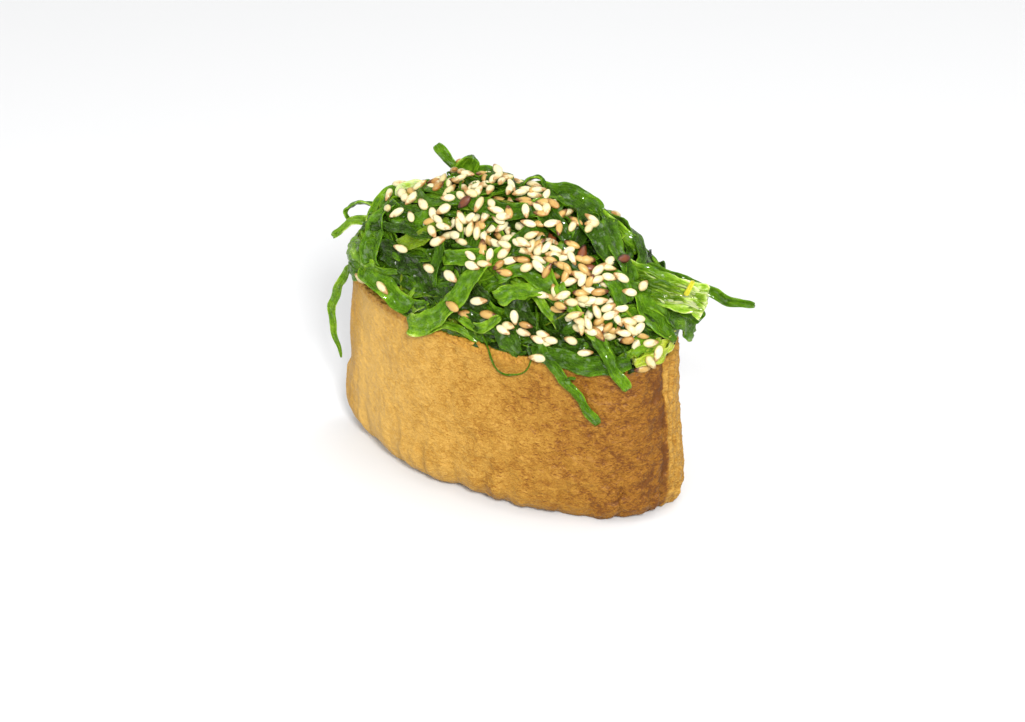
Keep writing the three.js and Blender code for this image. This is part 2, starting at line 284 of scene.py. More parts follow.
@dataclass(frozen=True)
class FriedTofu:
    """Fried bean curd: pale gold at the point, darker at the blunt end (partly browner skin, partly
    painted shade), finely crinkled.
    """

    stops: Stops = (
        (0.0, (0.485, 0.288, 0.066)),
        (0.25, (0.400, 0.220, 0.038)),
        (0.5, (0.305, 0.150, 0.0165)),
        (0.8, (0.208, 0.080, 0.0035)),
        (1.0, (0.105, 0.032, 0.0012)),
    )
    # painted shade in the creases of the crinkles
    crease: Colour = (0.10, 0.034, 0.0024)
    crust: Colour = (0.38, 0.19, 0.022)
    crumb: Colour = (0.22, 0.090, 0.008)
    half_length: float = 34.0
    cloud: Pattern = Pattern(0.10)
    blotch: Pattern = Pattern(0.36)
    lumps: Pattern = Pattern(1.0, rough=0.6, stretch=(0.8, 0.8, 1.1))
    fine: Pattern = Pattern(3.0, rough=0.65, stretch=(0.9, 0.9, 1.1))
    crinkle: Pattern = Pattern(1.7, 4.0, 0.62, swirl=0.7, stretch=(0.8, 0.8, 1.25), turn=20)
    fuzz: Pattern = Pattern(1.9, 4.0, 0.75)
    above: float = 0.2  # how far above a point the crinkles are read, to paint shade on their sides that face down
    browning_and_shade: float = 0.98  # how much darker the blunt end is than the point: partly browner skin, partly painted shade
    end_painted_light: float = 0.56  # how much paler the blunt end's own face is: painted light on the side that faces the light
    point_shade: float = 0.36  # how much darker the very point is: painted shade where the skin turns away from the light
    # how much painted shade darkens the creases
    crease_shade_share: float = 0.6
    toast_share: float = 0.85
    relief: float = 0.7

    def shade(self, r: Recipe, along: Wire, rough: Wire, noises: dict[str, Wire]) -> Wire:
        """How brown the skin is, with painted shade and painted light in it.

        Args:
            r: the recipe.
            along: the place from the point, 0, to the blunt end, 1.
            rough: how rough the skin is there.
            noises: the patterns, by name.

        Returns:
            The share of the way through the stops.
        """
        blotch, crinkle = noises["blotch"], noises["crinkle"]
        high = r.node("ShaderNodeSeparateXYZ", {0: r.place()}, output="Z")
        underside_shade = r.noise(self.crinkle, self.above) - crinkle
        ridge = (crinkle - 0.5).size().ease(0.0, 0.13)
        # darker along the pouch, partly browner skin and partly painted shade, a little darker
        # upwards, with clouds
        shade = along * self.browning_and_shade + high * along * 0.003
        shade = shade + noises["cloud"].off(0.3) - 0.11
        # grain that fades towards the smooth point, with painted shade on the crinkles' downward
        # sides, then painted highlights on their ridges and painted shade in their creases
        grain = blotch.off(0.85) + noises["lumps"].off(0.8) + noises["fine"].off(0.8)
        grain = grain + underside_shade.ease(0.0, 0.2) * 0.4
        grain = (grain * rough).at_least(-0.05) - 0.05
        shade = shade + grain + (0.5 - ridge) * 0.14 * rough
        # painted shade along the very point
        shade = shade + along.ease(0.1, 0.035) * self.point_shade
        # painted shade in the pressed fold between the long wall and the blunt end
        pressed = r.attribute("fold") * (blotch * 1.3 - 0.55)
        # painted light on the blunt end's face
        return shade - r.attribute("end") * self.end_painted_light + pressed

    def material(self) -> bpy.types.Material:
        """The material, which reads the point attributes "toast", "end" and "fold", the last two
        for painted light on the blunt end's face and painted shade in its fold.
        """
        r = Recipe("fried_tofu")
        along = r.node("ShaderNodeSeparateXYZ", {0: r.place((1 / self.half_length, 1, 1))})
        along = along * 0.5 + 0.5
        rough = along.ease(0.0, 0.6) * 0.6 + 0.4
        names = ("cloud", "blotch", "lumps", "fine", "crinkle", "fuzz")
        noises = {name: r.noise(getattr(self, name)) for name in names}
        crinkle, fine, fuzz = (noises[name] for name in ("crinkle", "fine", "fuzz"))
        base = r.ramp(self.shade(r, along, rough, noises), self.stops)
        # painted shade in the crinkles' creases, then the toasted crumbs of the cut rim
        crease_shade = ((crinkle - 0.5).size() + (fine - 0.5).size() * 0.3).ease(0.045, 0.0)
        base = r.mix(crease_shade * rough * self.crease_shade_share, base, self.crease)
        toast = r.attribute("toast") * (1 - along.ease(0.55, 0.85) * 0.6)
        toast = toast * (along.ease(0.0, 0.45) * 0.4 + 0.6)
        baked = (toast * (fuzz * 1.2 + 0.2)).ease(0.15, 0.7)
        crumbs = r.mix(fuzz.ease(0.5, 0.6), self.crust, self.crumb)
        crumbs = r.mix((1 - fuzz).ease(0.54, 0.64), crumbs, self.stops[1][1])
        height = (1 - noises["lumps"]) * 0.5 + (1 - noises["blotch"]) * 0.3
        r.set(
            Base_Color=r.mix(baked * self.toast_share, base, crumbs),
            Roughness=0.62 - fine * 0.2,
            Specular_IOR_Level=0.22,
            Normal=r.bump(height + (1 - crinkle) * 0.1, self.relief),
        )
        return r.material


@dataclass(frozen=True)
class Seaweed:
    """Wet seaweed: dark where it is thick, with painted shade where it lies deep and painted light
    at its thin edges, pale at cut stems.
    """

    stops: Stops = (
        (0.0, (0.0025, 0.0065, 0.0003)),
        (0.2, (0.008, 0.025, 0.0006)),
        (0.4, (0.026, 0.073, 0.002)),
        (0.6, (0.066, 0.160, 0.004)),
        (0.8, (0.165, 0.310, 0.012)),
        (0.92, (0.360, 0.520, 0.070)),
        (1.0, (0.590, 0.700, 0.290)),
    )
    olive: Colour = (0.26, 0.24, 0.008)
    yellow: Colour = (0.72, 0.66, 0.045)
    tint: tuple[float, ...] = (0.75, 1.0, 0.3, 1.0)  # of what it mirrors
    fibres: Pattern = Pattern(1.5, 4.0, 0.65, stretch=(0.3, 9.0, 1.0))
    bands: Pattern = Pattern(1.5, 2.0, stretch=(0.2, 2.6, 1.0))
    film: Pattern = Pattern(1.5, rough=0.6, stretch=(0.45, 2.2, 1.0))
    cloud: Pattern = Pattern(0.42)
    blot: Pattern = Pattern(1.7, 4.0, 0.6)
    # painted light glowing through the thin edges
    painted_edge_light: float = 0.3
    veins: float = 0.68
    wetness: float = 0.9
    relief: float = 0.5

    def material(self) -> bpy.types.Material:
        """The material, which reads "tone" and "ripe" and the UV map of each shred."""
        r = Recipe("seaweed")
        tone = r.attribute("tone")
        uv = r.node("ShaderNodeUVMap", {}, uv_map="shred")
        across = r.node("ShaderNodeSeparateXYZ", {0: uv}, output="Y")
        edge = ((across * 2 - 1).size()) ** 6
        streak, broad, wet = (r.noise(p, uv=uv) for p in (self.fibres, self.bands, self.film))
        cloud, blot = r.noise(self.cloud), r.noise(self.blot)
        veins = (streak - 0.5) * (1.15 - tone) * self.veins
        # painted light along the thin edges, and the veins
        shade = tone + edge * cloud * self.painted_edge_light + veins
        shade = shade + broad.off(0.5) + cloud.off(0.48) + blot.off(0.14)
        ripe = r.mix(shade.ease(0.2, 0.9), self.olive, self.yellow)
        r.set(
            Base_Color=r.mix(
                r.attribute("ripe") * (0.6 + cloud * 0.8), r.ramp(shade, self.stops), ripe
            ),
            Roughness=0.16 + blot * 0.2,
            Specular_IOR_Level=0.22,
            Specular_Tint=self.tint,
            Subsurface_Weight=0.25,
            Subsurface_Radius=(0.7, 1.0, 0.1),
            Subsurface_Scale=1.4 * MM,
            Coat_Weight=wet.ease(0.525, 0.585) * self.wetness,
            Coat_Roughness=0.07,
            Normal=r.bump(streak + broad * 0.5 + blot * 0.5, self.relief),
        )
        return r.material


@dataclass(frozen=True)
class SesameCoat:
    """The skin of a roasted sesame seed, darker towards its point and its rim."""

    name: str
    light: Colour
    dark: Colour
    tip: Colour
    tip_share: float
    mottle: Pattern = Pattern(1.3)
    fine: Pattern = Pattern(5.0)

    def material(self) -> bpy.types.Material:
        """The material, which reads the point attributes "tone", "tip" and "rim"."""
        r = Recipe(self.name)
        tone, tip, rim = (r.attribute(name) for name in ("tone", "tip", "rim"))
        mottle, fine = r.noise(self.mottle), r.noise(self.fine)
        roast = (tone * 0.6 + rim * 0.55 + mottle.off(0.7)).ease(0.2, 1.1)
        scorch = (tip + rim * 0.25 + mottle.off(1.4)).ease(0.6, 1.1)
        coat = r.mix(roast, self.light, self.dark)
        r.set(
            Base_Color=r.mix(scorch * self.tip_share, coat, self.tip),
            Roughness=0.26 + fine * 0.18,
            Specular_IOR_Level=0.4,
            Subsurface_Weight=0.08,
            Subsurface_Radius=(1.0, 0.7, 0.4),
            Subsurface_Scale=0.6 * MM,
            Normal=r.bump(fine, 0.05, 0.5),
        )
        return r.material


@dataclass(frozen=True)
class PaleFloor:
    """The white table top."""

    colour: Colour = (0.607, 0.609, 0.613)
    haze: Colour = (0.611, 0.613, 0.616)
    cloud: Pattern = Pattern(0.02, 1.0)

    def material(self) -> bpy.types.Material:
        """The material."""
        r = Recipe("pale_floor")
        tint = r.mix(r.noise(self.cloud), self.colour, self.haze)
        r.set(Base_Color=tint, Roughness=0.6, Specular_IOR_Level=0.2)
        return r.material


# --- Shared means of shaping ---


class Dice:
    """Repeatable random numbers, the same ones as in the part's source."""

    MASK = 0xFFFFFFFF
    STRIDE = 0x6D2B79F5

    def __init__(self, start: int) -> None:
        """Starts the sequence."""
        self.state = start

    def roll(self, low: float = 0.0, high: float = 1.0) -> float:
        """The next number between low and high."""
        mask = self.MASK
        self.state = (self.state + self.STRIDE) & mask
        t = self.state
        t = ((t ^ (t >> 15)) * (t | 1)) & mask
        t ^= (t + (((t ^ (t >> 7)) * (t | 61)) & mask)) & mask
        return low + (high - low) * ((t ^ (t >> 14)) & mask) / (mask + 1)

    def bell(self) -> float:
        """A number about 0, seldom far from it."""
        return self.roll() + self.roll() + self.roll() - 1.5


def unit(vector: Array) -> Array:
    """The vector at length 1."""
    return vector / np.linalg.norm(vector)


def rows_to_unit(rows: Array) -> Array:
    """Every row at length 1."""
    return rows / np.linalg.norm(rows, axis=1, keepdims=True)


def ease(low: float, high: float, value: Array | float) -> Array:
    """A smooth step of a number or array from 0 at low to 1 at high."""
    share = np.clip((value - low) / (high - low), 0, 1)
    return share * share * (3 - 2 * share)


def shrunk(ring: Array, share: float) -> Array:
    """Points drawn in level towards the middle, to a share of their distance."""
    return ring * np.array([share, share, 1])


def full_turn(count: int) -> Array:
    """The angles of a closed ring, whose last point is its first."""
    angle = np.linspace(0, 2 * math.pi, count + 1)
    angle[-1] = 0.0
    return angle


def deselect() -> None:
    """Leaves nothing selected."""
    bpy.ops.object.select_all(action="DESELECT")


def activate(piece: bpy.types.Object) -> None:
    """Makes the piece the only selected object and the active one."""
    deselect()
    piece.select_set(True)
    bpy.context.view_layer.objects.active = piece


def link(name: str, data: bpy.types.ID) -> bpy.types.Object:
    """Puts a new object of that data in the scene."""
    thing = bpy.data.objects.new(name, data)
    bpy.context.scene.collection.objects.link(thing)
    return thing


def paint(piece: bpy.types.Object, **marks: Array) -> None:
    """Stores point attributes, with a number for each point of the piece."""
    for name, values in marks.items():
        layer = piece.data.attributes.new(name, "FLOAT", "POINT")
        layer.data.foreach_set("value", np.asarray(values, np.float32))


def points_of(piece: bpy.types.Object) -> Array:
    """The piece's points in millimetres, one row each."""
    flat = np.empty(len(piece.data.vertices) * 3)
    piece.data.vertices.foreach_get("co", flat)
    return flat.reshape(-1, 3) / MM


def smooth_out(piece: bpy.types.Object, weld: float = 0.0) -> None:
    """Turns the piece's faces out and shades them smooth.

    Args:
        piece: the piece.
        weld: points nearer to each other than this become one first.
    """
    activate(piece)
    bpy.ops.object.mode_set(mode="EDIT")
    bpy.ops.mesh.select_all(action="SELECT")
    if weld:
        bpy.ops.mesh.remove_doubles(threshold=weld * MM)
    bpy.ops.mesh.normals_make_consistent(inside=False)
    bpy.ops.object.mode_set(mode="OBJECT")
    bpy.ops.object.shade_smooth()


def rolled_sheet(name: str, shape: Array, **marks: Array | float) -> bpy.types.Object:
    """Rolls a flat grid into a closed skin.

    Args:
        name: the piece's name.
        shape: its points in millimetres, a row for each ring from pole to pole.
        **marks: point attributes, with a number for each of the points.

    Returns:
        The piece, with its seam and poles closed and its faces pointing out.
    """
    along, around = shape.shape[0] - 1, shape.shape[1] - 1
    deselect()
    bpy.ops.mesh.primitive_grid_add(x_subdivisions=around, y_subdivisions=along, size=2 * MM)
    piece = bpy.context.object
    piece.name = name
    flat = points_of(piece)
    column = np.rint((flat[:, 0] + 1) / 2 * around).astype(int)
    row = np.rint((flat[:, 1] + 1) / 2 * along).astype(int)
    piece.data.vertices.foreach_set("co", (shape[row, column] * MM).ravel())
    piece.data.update()
    spread = {mark: np.broadcast_to(values, shape.shape[:2]) for mark, values in marks.items()}
    paint(piece, **{mark: values[row, column] for mark, values in spread.items()})
    smooth_out(piece, weld=0.002)
    return piece


def copies_of(name: str, shapes: Sequence[Array], pattern: Faces) -> bpy.types.Object:
    """One piece of many copies of a mesh, each with points of its own.

    Args:
        name: the piece's name.
        shapes: each copy's points in millimetres.
        pattern: the faces of a copy.

    Returns:
        The piece.
    """
    count = len(shapes[0])
    starts = range(0, count * len(shapes), count)
    faces = [tuple(start + i for i in face) for start in starts for face in pattern]
    mesh = bpy.data.meshes.new(name)
    mesh.from_pydata((np.concatenate(shapes) * MM).tolist(), [], faces)
    return link(name, mesh)


def take_mesh(thing: bpy.types.Object) -> tuple[Array, Faces]:
    """Takes an object out of the scene.

    Args:
        thing: the object.

    Returns:
        Its points, in the units that it was made in, and its faces.
    """
    points = np.array([v.co for v in thing.data.vertices])
    faces = [tuple(face.vertices) for face in thing.data.polygons]
    bpy.data.objects.remove(thing)
    return points, faces


def finish_piece(
    piece: bpy.types.Object, material: bpy.types.Material, node: str
) -> None:
    """Dresses a piece and ties it to the model.

    Args:
        piece: the finished piece.
        material: its finish.
        node: the solid that it stands for.
    """
    piece.data.materials.clear()
    piece.data.materials.append(material)
    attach(piece, "root")
    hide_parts(node)
    LOG.info("%s: %d faces", piece.name, len(piece.data.polygons))


# --- The pouch ---


@dataclass(frozen=True)
class Outline:
    """A level outline of the pouch: pointed at -X and blunt at +X."""

    half_length: float
    half_width: float
    pointed: float
    blunt: float

    def point(self, angle: Array) -> tuple[Array, Array]:
        """The outline's x and y at an angle."""
        along = np.cos(angle)
        power = np.where(along > 0, self.blunt, 2.0)
        root = np.where(along > 0, 0.5, self.pointed)
        width = np.maximum(1 - np.abs(along) ** power, 0) ** root
        return self.half_length * along, self.half_width * np.sign(np.sin(angle)) * width

    def towards(self, other: Outline, share: float) -> Outline:
        """The outline part of the way towards another one."""
        return Outline(*(a + (b - a) * share for a, b in zip(astuple(self), astuple(other))))


# Reliefs of the skin: name, kind of texture, size and depth in millimetres, vertex group.
RELIEFS = (
    ("dents", "CLOUDS", 5.5, 0.7, ""),
    ("crinkles", "CLOUDS", 1.5, 0.4, "deeper"),
    ("pits", "VORONOI", 1.1, 0.3, "deeper"),
    ("cobbles", "VORONOI", 1.9, -0.35, "deeper"),
    ("grain", "CLOUDS", 0.55, 0.26, "deeper"),
    ("crumbs", "CLOUDS", 0.7, 1.2, "cut"),
)
WEIGHT_STEPS = 16  # how finely the vertex groups are graded


@dataclass
class Pouch:
    """The fried tofu pouch: flat foot, rounded bottom edge, crinkled wall, cut rim and recess."""

    height: float = 31.4
    skin: float = 2.0
    recess: float = 7.0
    recess_lean: float = 0.6  # how far the recess's wall leans in
    foot: Outline = Outline(34.0, 15.8, 0.85, 2.4)
    rim: Outline = Outline(32.6, 12.2, 0.95, 5.0)
    rim_shift: float = -0.3
    rim_rise: float = 0.4  # how far the cut rim bulges up
    rim_drop: float = 0.3  # how much lower its inner edge is than its outer edge
    round_at_point: float = 6.6
    round_at_blunt: float = 3.6
    dip: float = 0.9
    around: int = 620
    foot_rings: int = 6
    bottom_rings: int = 14
    wall_rings: int = 112
    rim_rings: int = 14
    inside_rings: int = 4

    def wrinkle(self, angle: Array, up: float) -> Array:
        """How far the skin stands out.

        Args:
            angle: the angles round the pouch.
            up: the share of the wall's height.

        Returns:
            The distances: dents, a wavy hem, folds at the blunt end and a heel at the point.
        """
        low = (1 - up) ** 2
        blunt = np.maximum(0, np.cos(angle)) ** 3
        heel = np.maximum(0, -np.cos(angle)) ** 12 * (1.25 * float(ease(0.31, 0.19, up)) - 0.35)
        hem = 0.32 * np.sin(9 * angle + 0.8) + 0.22 * np.sin(17 * angle + 2)
        hem = hem + 0.26 * np.sin(34 * angle + 1.3 * np.sin(5 * angle)) * (1 - up) ** 3
        hem = hem + 0.16 * np.sin(57 * angle + 2 * np.sin(7 * angle)) * (1 - up) ** 3
        dents = 0.3 * np.sin(5 * angle + 7 * up) + 0.18 * np.sin(13 * angle - 5 * up)
        folds = 0.22 * blunt * np.sin(34 * angle + 2 * up) * up
        return hem * low + dents * (0.35 + up * (1 - up)) + folds + heel

    def crease(self, angle: Array, up: float) -> Array:
        """The pressed fold that parts the long wall from the blunt end, and the ribs beside it."""
        turn = (np.degrees(angle) + 180) % 360 - 180
        pressed = np.exp(-(((turn + 9 + 1.2 * math.sin(4 * up)) / 1.9) ** 2))
        second = np.exp(-(((turn + 16 + 1.5 * math.sin(5 * up)) / 1.6) ** 2))
        pressed = pressed + 0.3 * second * (1 - up)
        ribs = np.exp(-((turn / 11) ** 2)) * np.sin(np.radians(turn) * 95 + 3 * math.sin(5 * up))
        return 0.2 * ribs * (0.4 + 0.6 * up) - 0.5 * pressed * (0.5 + 0.5 * up)

    def wall(self, angle: Array, up: float) -> Array:
        """The ring of the wall at a share of its height.

        Args:
            angle: the angles round the pouch.
            up: 0 at the bottom edge, 1 at the rim.

        Returns:
            The ring's points.
        """
        share = 0.5 * up + 0.5 * up * up * (3 - 2 * up)
        blunter = (1 + np.cos(angle)) / 2
        low = self.round_at_point + (self.round_at_blunt - self.round_at_point) * blunter
        top = self.height - self.dip * np.maximum(0, -np.sin(angle - 0.35)) ** 2
        x, y = self.foot.towards(self.rim, share).point(angle)
        reach = 1 + (self.wrinkle(angle, up) + self.crease(angle, up)) / np.hypot(x, y)
        z = low + (top - low) * up
        return np.stack([x * reach + self.rim_shift * up, y * reach, z], axis=-1)

    @staticmethod
    def drawn_in(ring: Array, inset: Array | float) -> Array:
        """A ring moved towards the middle by a distance."""
        plan = np.hypot(ring[:, 0], ring[:, 1])
        reach = np.maximum(plan - inset, 0.02) / plan
        return ring * np.stack([reach, reach, np.ones_like(reach)], axis=-1)

    def bottom(self, widest: Array, turn: float) -> Array:
        """The ring of the rounded bottom edge, at a turn from the foot up to the widest ring."""
        ring = self.drawn_in(widest, widest[:, 2] * (1 - math.sin(turn)))
        ring[:, 2] = widest[:, 2] * (1 - math.cos(turn))
        return ring

    def inside(self, angle: Array, inset: float, lift: float) -> Array:
        """The rim ring drawn in and lifted, as the recess's wall follows it."""
        ring = self.wall(angle, 1.0)
        inset_here = inset * (1.5 - 0.5 * np.abs(ring[:, 1]) / self.rim.half_width)
        return self.drawn_in(ring, inset_here) + np.array([0, 0, lift])

    def rings(self, angle: Array) -> list[tuple[Array, float]]:
        """The pouch's rings from the middle of the foot to the middle of the recess.

        Args:
            angle: the angles of a ring's points.

        Returns:
            Each ring with how toasted it is.
        """
        rings: list[tuple[Array, float]] = []
        widest = self.wall(angle, 0.0)
        foot = self.bottom(widest, 0.0)
        for share in np.linspace(0, 1, self.foot_rings, endpoint=False):
            rings.append((shrunk(foot, share), 0.2))
        for turn in np.linspace(0, math.pi / 2, self.bottom_rings, endpoint=False):
            rings.append((self.bottom(widest, turn), 0.3 * math.cos(turn) ** 2))
        for up in np.linspace(0, 1, self.wall_rings, endpoint=False):
            rings.append((self.wall(angle, up), float(ease(0.925, 0.975, up))))
        for turn in np.linspace(0, math.pi, self.rim_rings):
            inset = self.skin * (1 - math.cos(turn)) / 2
            lift = self.rim_rise * math.sin(turn) - self.rim_drop * (1 - math.cos(turn)) / 2
            rings.append((self.inside(angle, inset, lift), 1.0))
        for down in np.linspace(0, 1, self.inside_rings + 1)[1:]:
            ring = self.inside(angle, self.skin + self.recess_lean * down, -self.rim_drop)
            ring[:, 2] += (self.height - self.recess - ring[:, 2]) * down
            rings.append((ring, 0.4))
        floor = rings[-1][0]
        for share in np.linspace(1, 0, self.inside_rings + 1)[1:]:
            rings.append((shrunk(floor, share), 0.3))
        return rings

    def build(self) -> bpy.types.Object:
        """The pouch's skin with its relief.

        Returns:
            The piece, with the point attributes "toast", "end" and "fold", the last two marking
            painted light on the blunt end's face and painted shade in its fold.
        """
        angle = full_turn(self.around)
        rings = self.rings(angle)
        turn = (np.degrees(angle) + 180) % 360 - 180
        piece = rolled_sheet(
            "tofu_skin",
            np.stack([ring for ring, _ in rings]),
            toast=np.array([[share] for _, share in rings]),
            # where light is painted on the blunt end's face
            end=ease(-9, -7, turn) * ease(70, 45, turn),
            # where shade is painted in the pressed fold
            fold=np.exp(-(((turn + 10.5) / 2.2) ** 2)),
        )
        self.roughen(piece)
        return piece

    @staticmethod
    def group(piece: bpy.types.Object, name: str, weights: Array) -> None:
        """Adds a vertex group of those weights to the piece."""
        group = piece.vertex_groups.new(name=name)
        steps = np.rint(weights * WEIGHT_STEPS).astype(int)
        for step in range(WEIGHT_STEPS + 1):
            group.add(np.flatnonzero(steps == step).tolist(), step / WEIGHT_STEPS, "REPLACE")

    def roughen(self, piece: bpy.types.Object) -> None:
        """Presses dents, crinkles and grain into the skin, deeper towards the blunt end."""
        activate(piece)
        along = points_of(piece)[:, 0] / self.foot.half_length
        toast = np.empty(len(along), np.float32)
        piece.data.attributes["toast"].data.foreach_get("value", toast)
        self.group(piece, "deeper", 0.25 + 0.375 * (along.clip(-1, 1) + 1))
        self.group(piece, "cut", (toast - 0.5).clip(0, 0.5) * 2)
        for name, kind, size, depth, group in RELIEFS:
            texture = bpy.data.textures.new(name, kind)
            texture.noise_scale = size * MM
            relief = piece.modifiers.new(name, "DISPLACE")
            relief.texture = texture
            relief.texture_coords = "LOCAL"
            relief.strength = depth * MM
            relief.mid_level = 0.5
            relief.vertex_group = group
            bpy.ops.object.modifier_apply(modifier=name)


# --- The mound that the salad makes ---


@dataclass(frozen=True)
class Mound:
    """The surface that the shreds and seeds lie on."""

    base: float = 30.0
    half_length: float = 32.8
    half_width: float = 12.4
    height: float = 26.0
    fullness: float = 2.3
    pointed_plan: float = 2.0
    blunt_plan: float = 3.2
    lean: float = 2.0
    farthest: float = 60.0  # no part of the surface is farther from the long axis
    rim: Outline = Pouch.rim

    def gauge(self, p: Array) -> Array:
        """How far out points are from the heart: 1 on the surface, less inside."""
        along = p[..., 0] / self.half_length
        height = self.height * (1 - 0.06 * along - 0.1 * along * along)
        up = np.maximum(0, p[..., 2] - self.base) / height
        power = np.where(p[..., 0] > 0, self.blunt_plan, self.pointed_plan)
        across = np.abs((p[..., 1] - self.lean * up) / self.half_width)
        plan = (np.abs(along) ** power + across**power) ** (1 / power)
        return (plan**self.fullness + up**self.fullness) ** (1 / self.fullness)

    def onto(self, p: Array) -> Array:
        """The point moved straight to or from the heart until it is on the surface."""
        heart = np.array([0, 0, self.base])
        out = p - heart
        for _ in range(6):
            out = out / self.gauge(out + heart)
        return out + heart

    def tucked(self, p: Array, inset: float = 1.6) -> Array:
        """Draws a low point in, so that the pouch's rim stays bare.

        Args:
            p: the point.
            inset: how far within the rim it goes at the rim's height.

        Returns:
            The point, moved level towards the middle until it is clear of the rim.
        """
        spare = 0.8 * (p[2] - self.base - 1) - inset
        for _ in range(14):
            along = abs(p[0]) / (self.rim.half_length + spare)
            across = abs(p[1]) / (self.rim.half_width + spare)
            if p[0] > 0:
                plan = along**self.rim.blunt + across**2
            else:
                plan = along**2 + across ** (1 / self.rim.pointed)
            if spare > 3 or plan < 1:
                break
            p = shrunk(p, 0.96)
        return p

    def normal(self, p: Array) -> Array:
        """The outward direction at a point."""
        step = 0.05 * np.eye(3)
        return unit(self.gauge(p + step) - self.gauge(p - step))

    def point(self, along: float, turn: float) -> Array:
        """A point on the surface.

        Args:
            along: its x.
            turn: its turn round the long axis in degrees, 0 at the front, 90 at the crest.

        Returns:
            The point.
        """
        angle = math.radians(turn)
        way = np.array([0, -math.cos(angle), math.sin(angle)])
        start = np.array([along, 0, self.base])
        near, far = 0.0, self.farthest
        for _ in range(24):
            middle = (near + far) / 2
            if self.gauge(start + way * middle) < 1:
                near = middle
            else:
                far = middle
        return start + way * near


# --- Shreds ---


def smooth_line(points: Sequence[Numbers], count: int) -> Array:
    """Evenly spaced points on a smooth curve.

    Args:
        points: the points that the curve goes through.
        count: how many steps it is cut into.

    Returns:
        count + 1 points.
    """
    knots = [np.asarray(p, float) for p in points]
    knots = [2 * knots[0] - knots[1], *knots, 2 * knots[-1] - knots[-2]]
    gaps = [max(np.linalg.norm(q - p), 1e-4) ** 0.5 for p, q in zip(knots, knots[1:])]
    path = []
    for i in range(len(knots) - 3):
        a, b, c, d = knots[i : i + 4]
        before, gap, after = gaps[i : i + 3]
        leave = ((b - a) / before - (c - a) / (before + gap) + (c - b) / gap) * gap
        reach = ((c - b) / gap - (d - b) / (gap + after) + (d - c) / after) * gap
        square = 3 * (c - b) - 2 * leave - reach
        cube = 2 * (b - c) + leave + reach
        for t in np.linspace(0, 1, 16, endpoint=False):
            path.append(b + leave * t + square * t**2 + cube * t**3)
    path.append(knots[-2])
    line = np.array(path)
    length = np.concatenate([[0], np.cumsum(np.linalg.norm(np.diff(line, axis=0), axis=1))])
    even = np.linspace(0, length[-1], count + 1)
    return np.stack([np.interp(even, length, line[:, axis]) for axis in range(3)], axis=-1)


@dataclass
class Shred:
    """One strip of seaweed along a line over the mound.

    Attributes:
        line: points along its middle.
        width: its width.
        tone: 0 for deep green up to 1 for the palest stem.
        face: the direction of its flat side, where that isn't simply away from the mound.
        outline: its relative widths, from its first end to its last.
        thickness: its thickness.
        twist: how far it turns from end to end, in radians.
        cup: how far its edges curl up, as a share of the width.
        frill: how far its edges wave, as a share of the width.
        ragged: how uneven its edges are, as a share of the width.
        rooted: whether its first end starts inside the mound.
        brighten: how much brighter its last end is.
        ripe: how yellow it is, from 0 to 1.
    """

    line: Sequence[Numbers]
    width: float
    tone: float = 0.45
    face: Numbers | None = None
    outline: Numbers = (0.8, 1.0, 1.0, 0.75)
    thickness: float = 0.5
    twist: float = 0.0
    cup: float = 0.1
    frill: float = 0.03
    ragged: float = 0.06
    rooted: bool = True
    brighten: float = 0.0
    ripe: float = 0.0


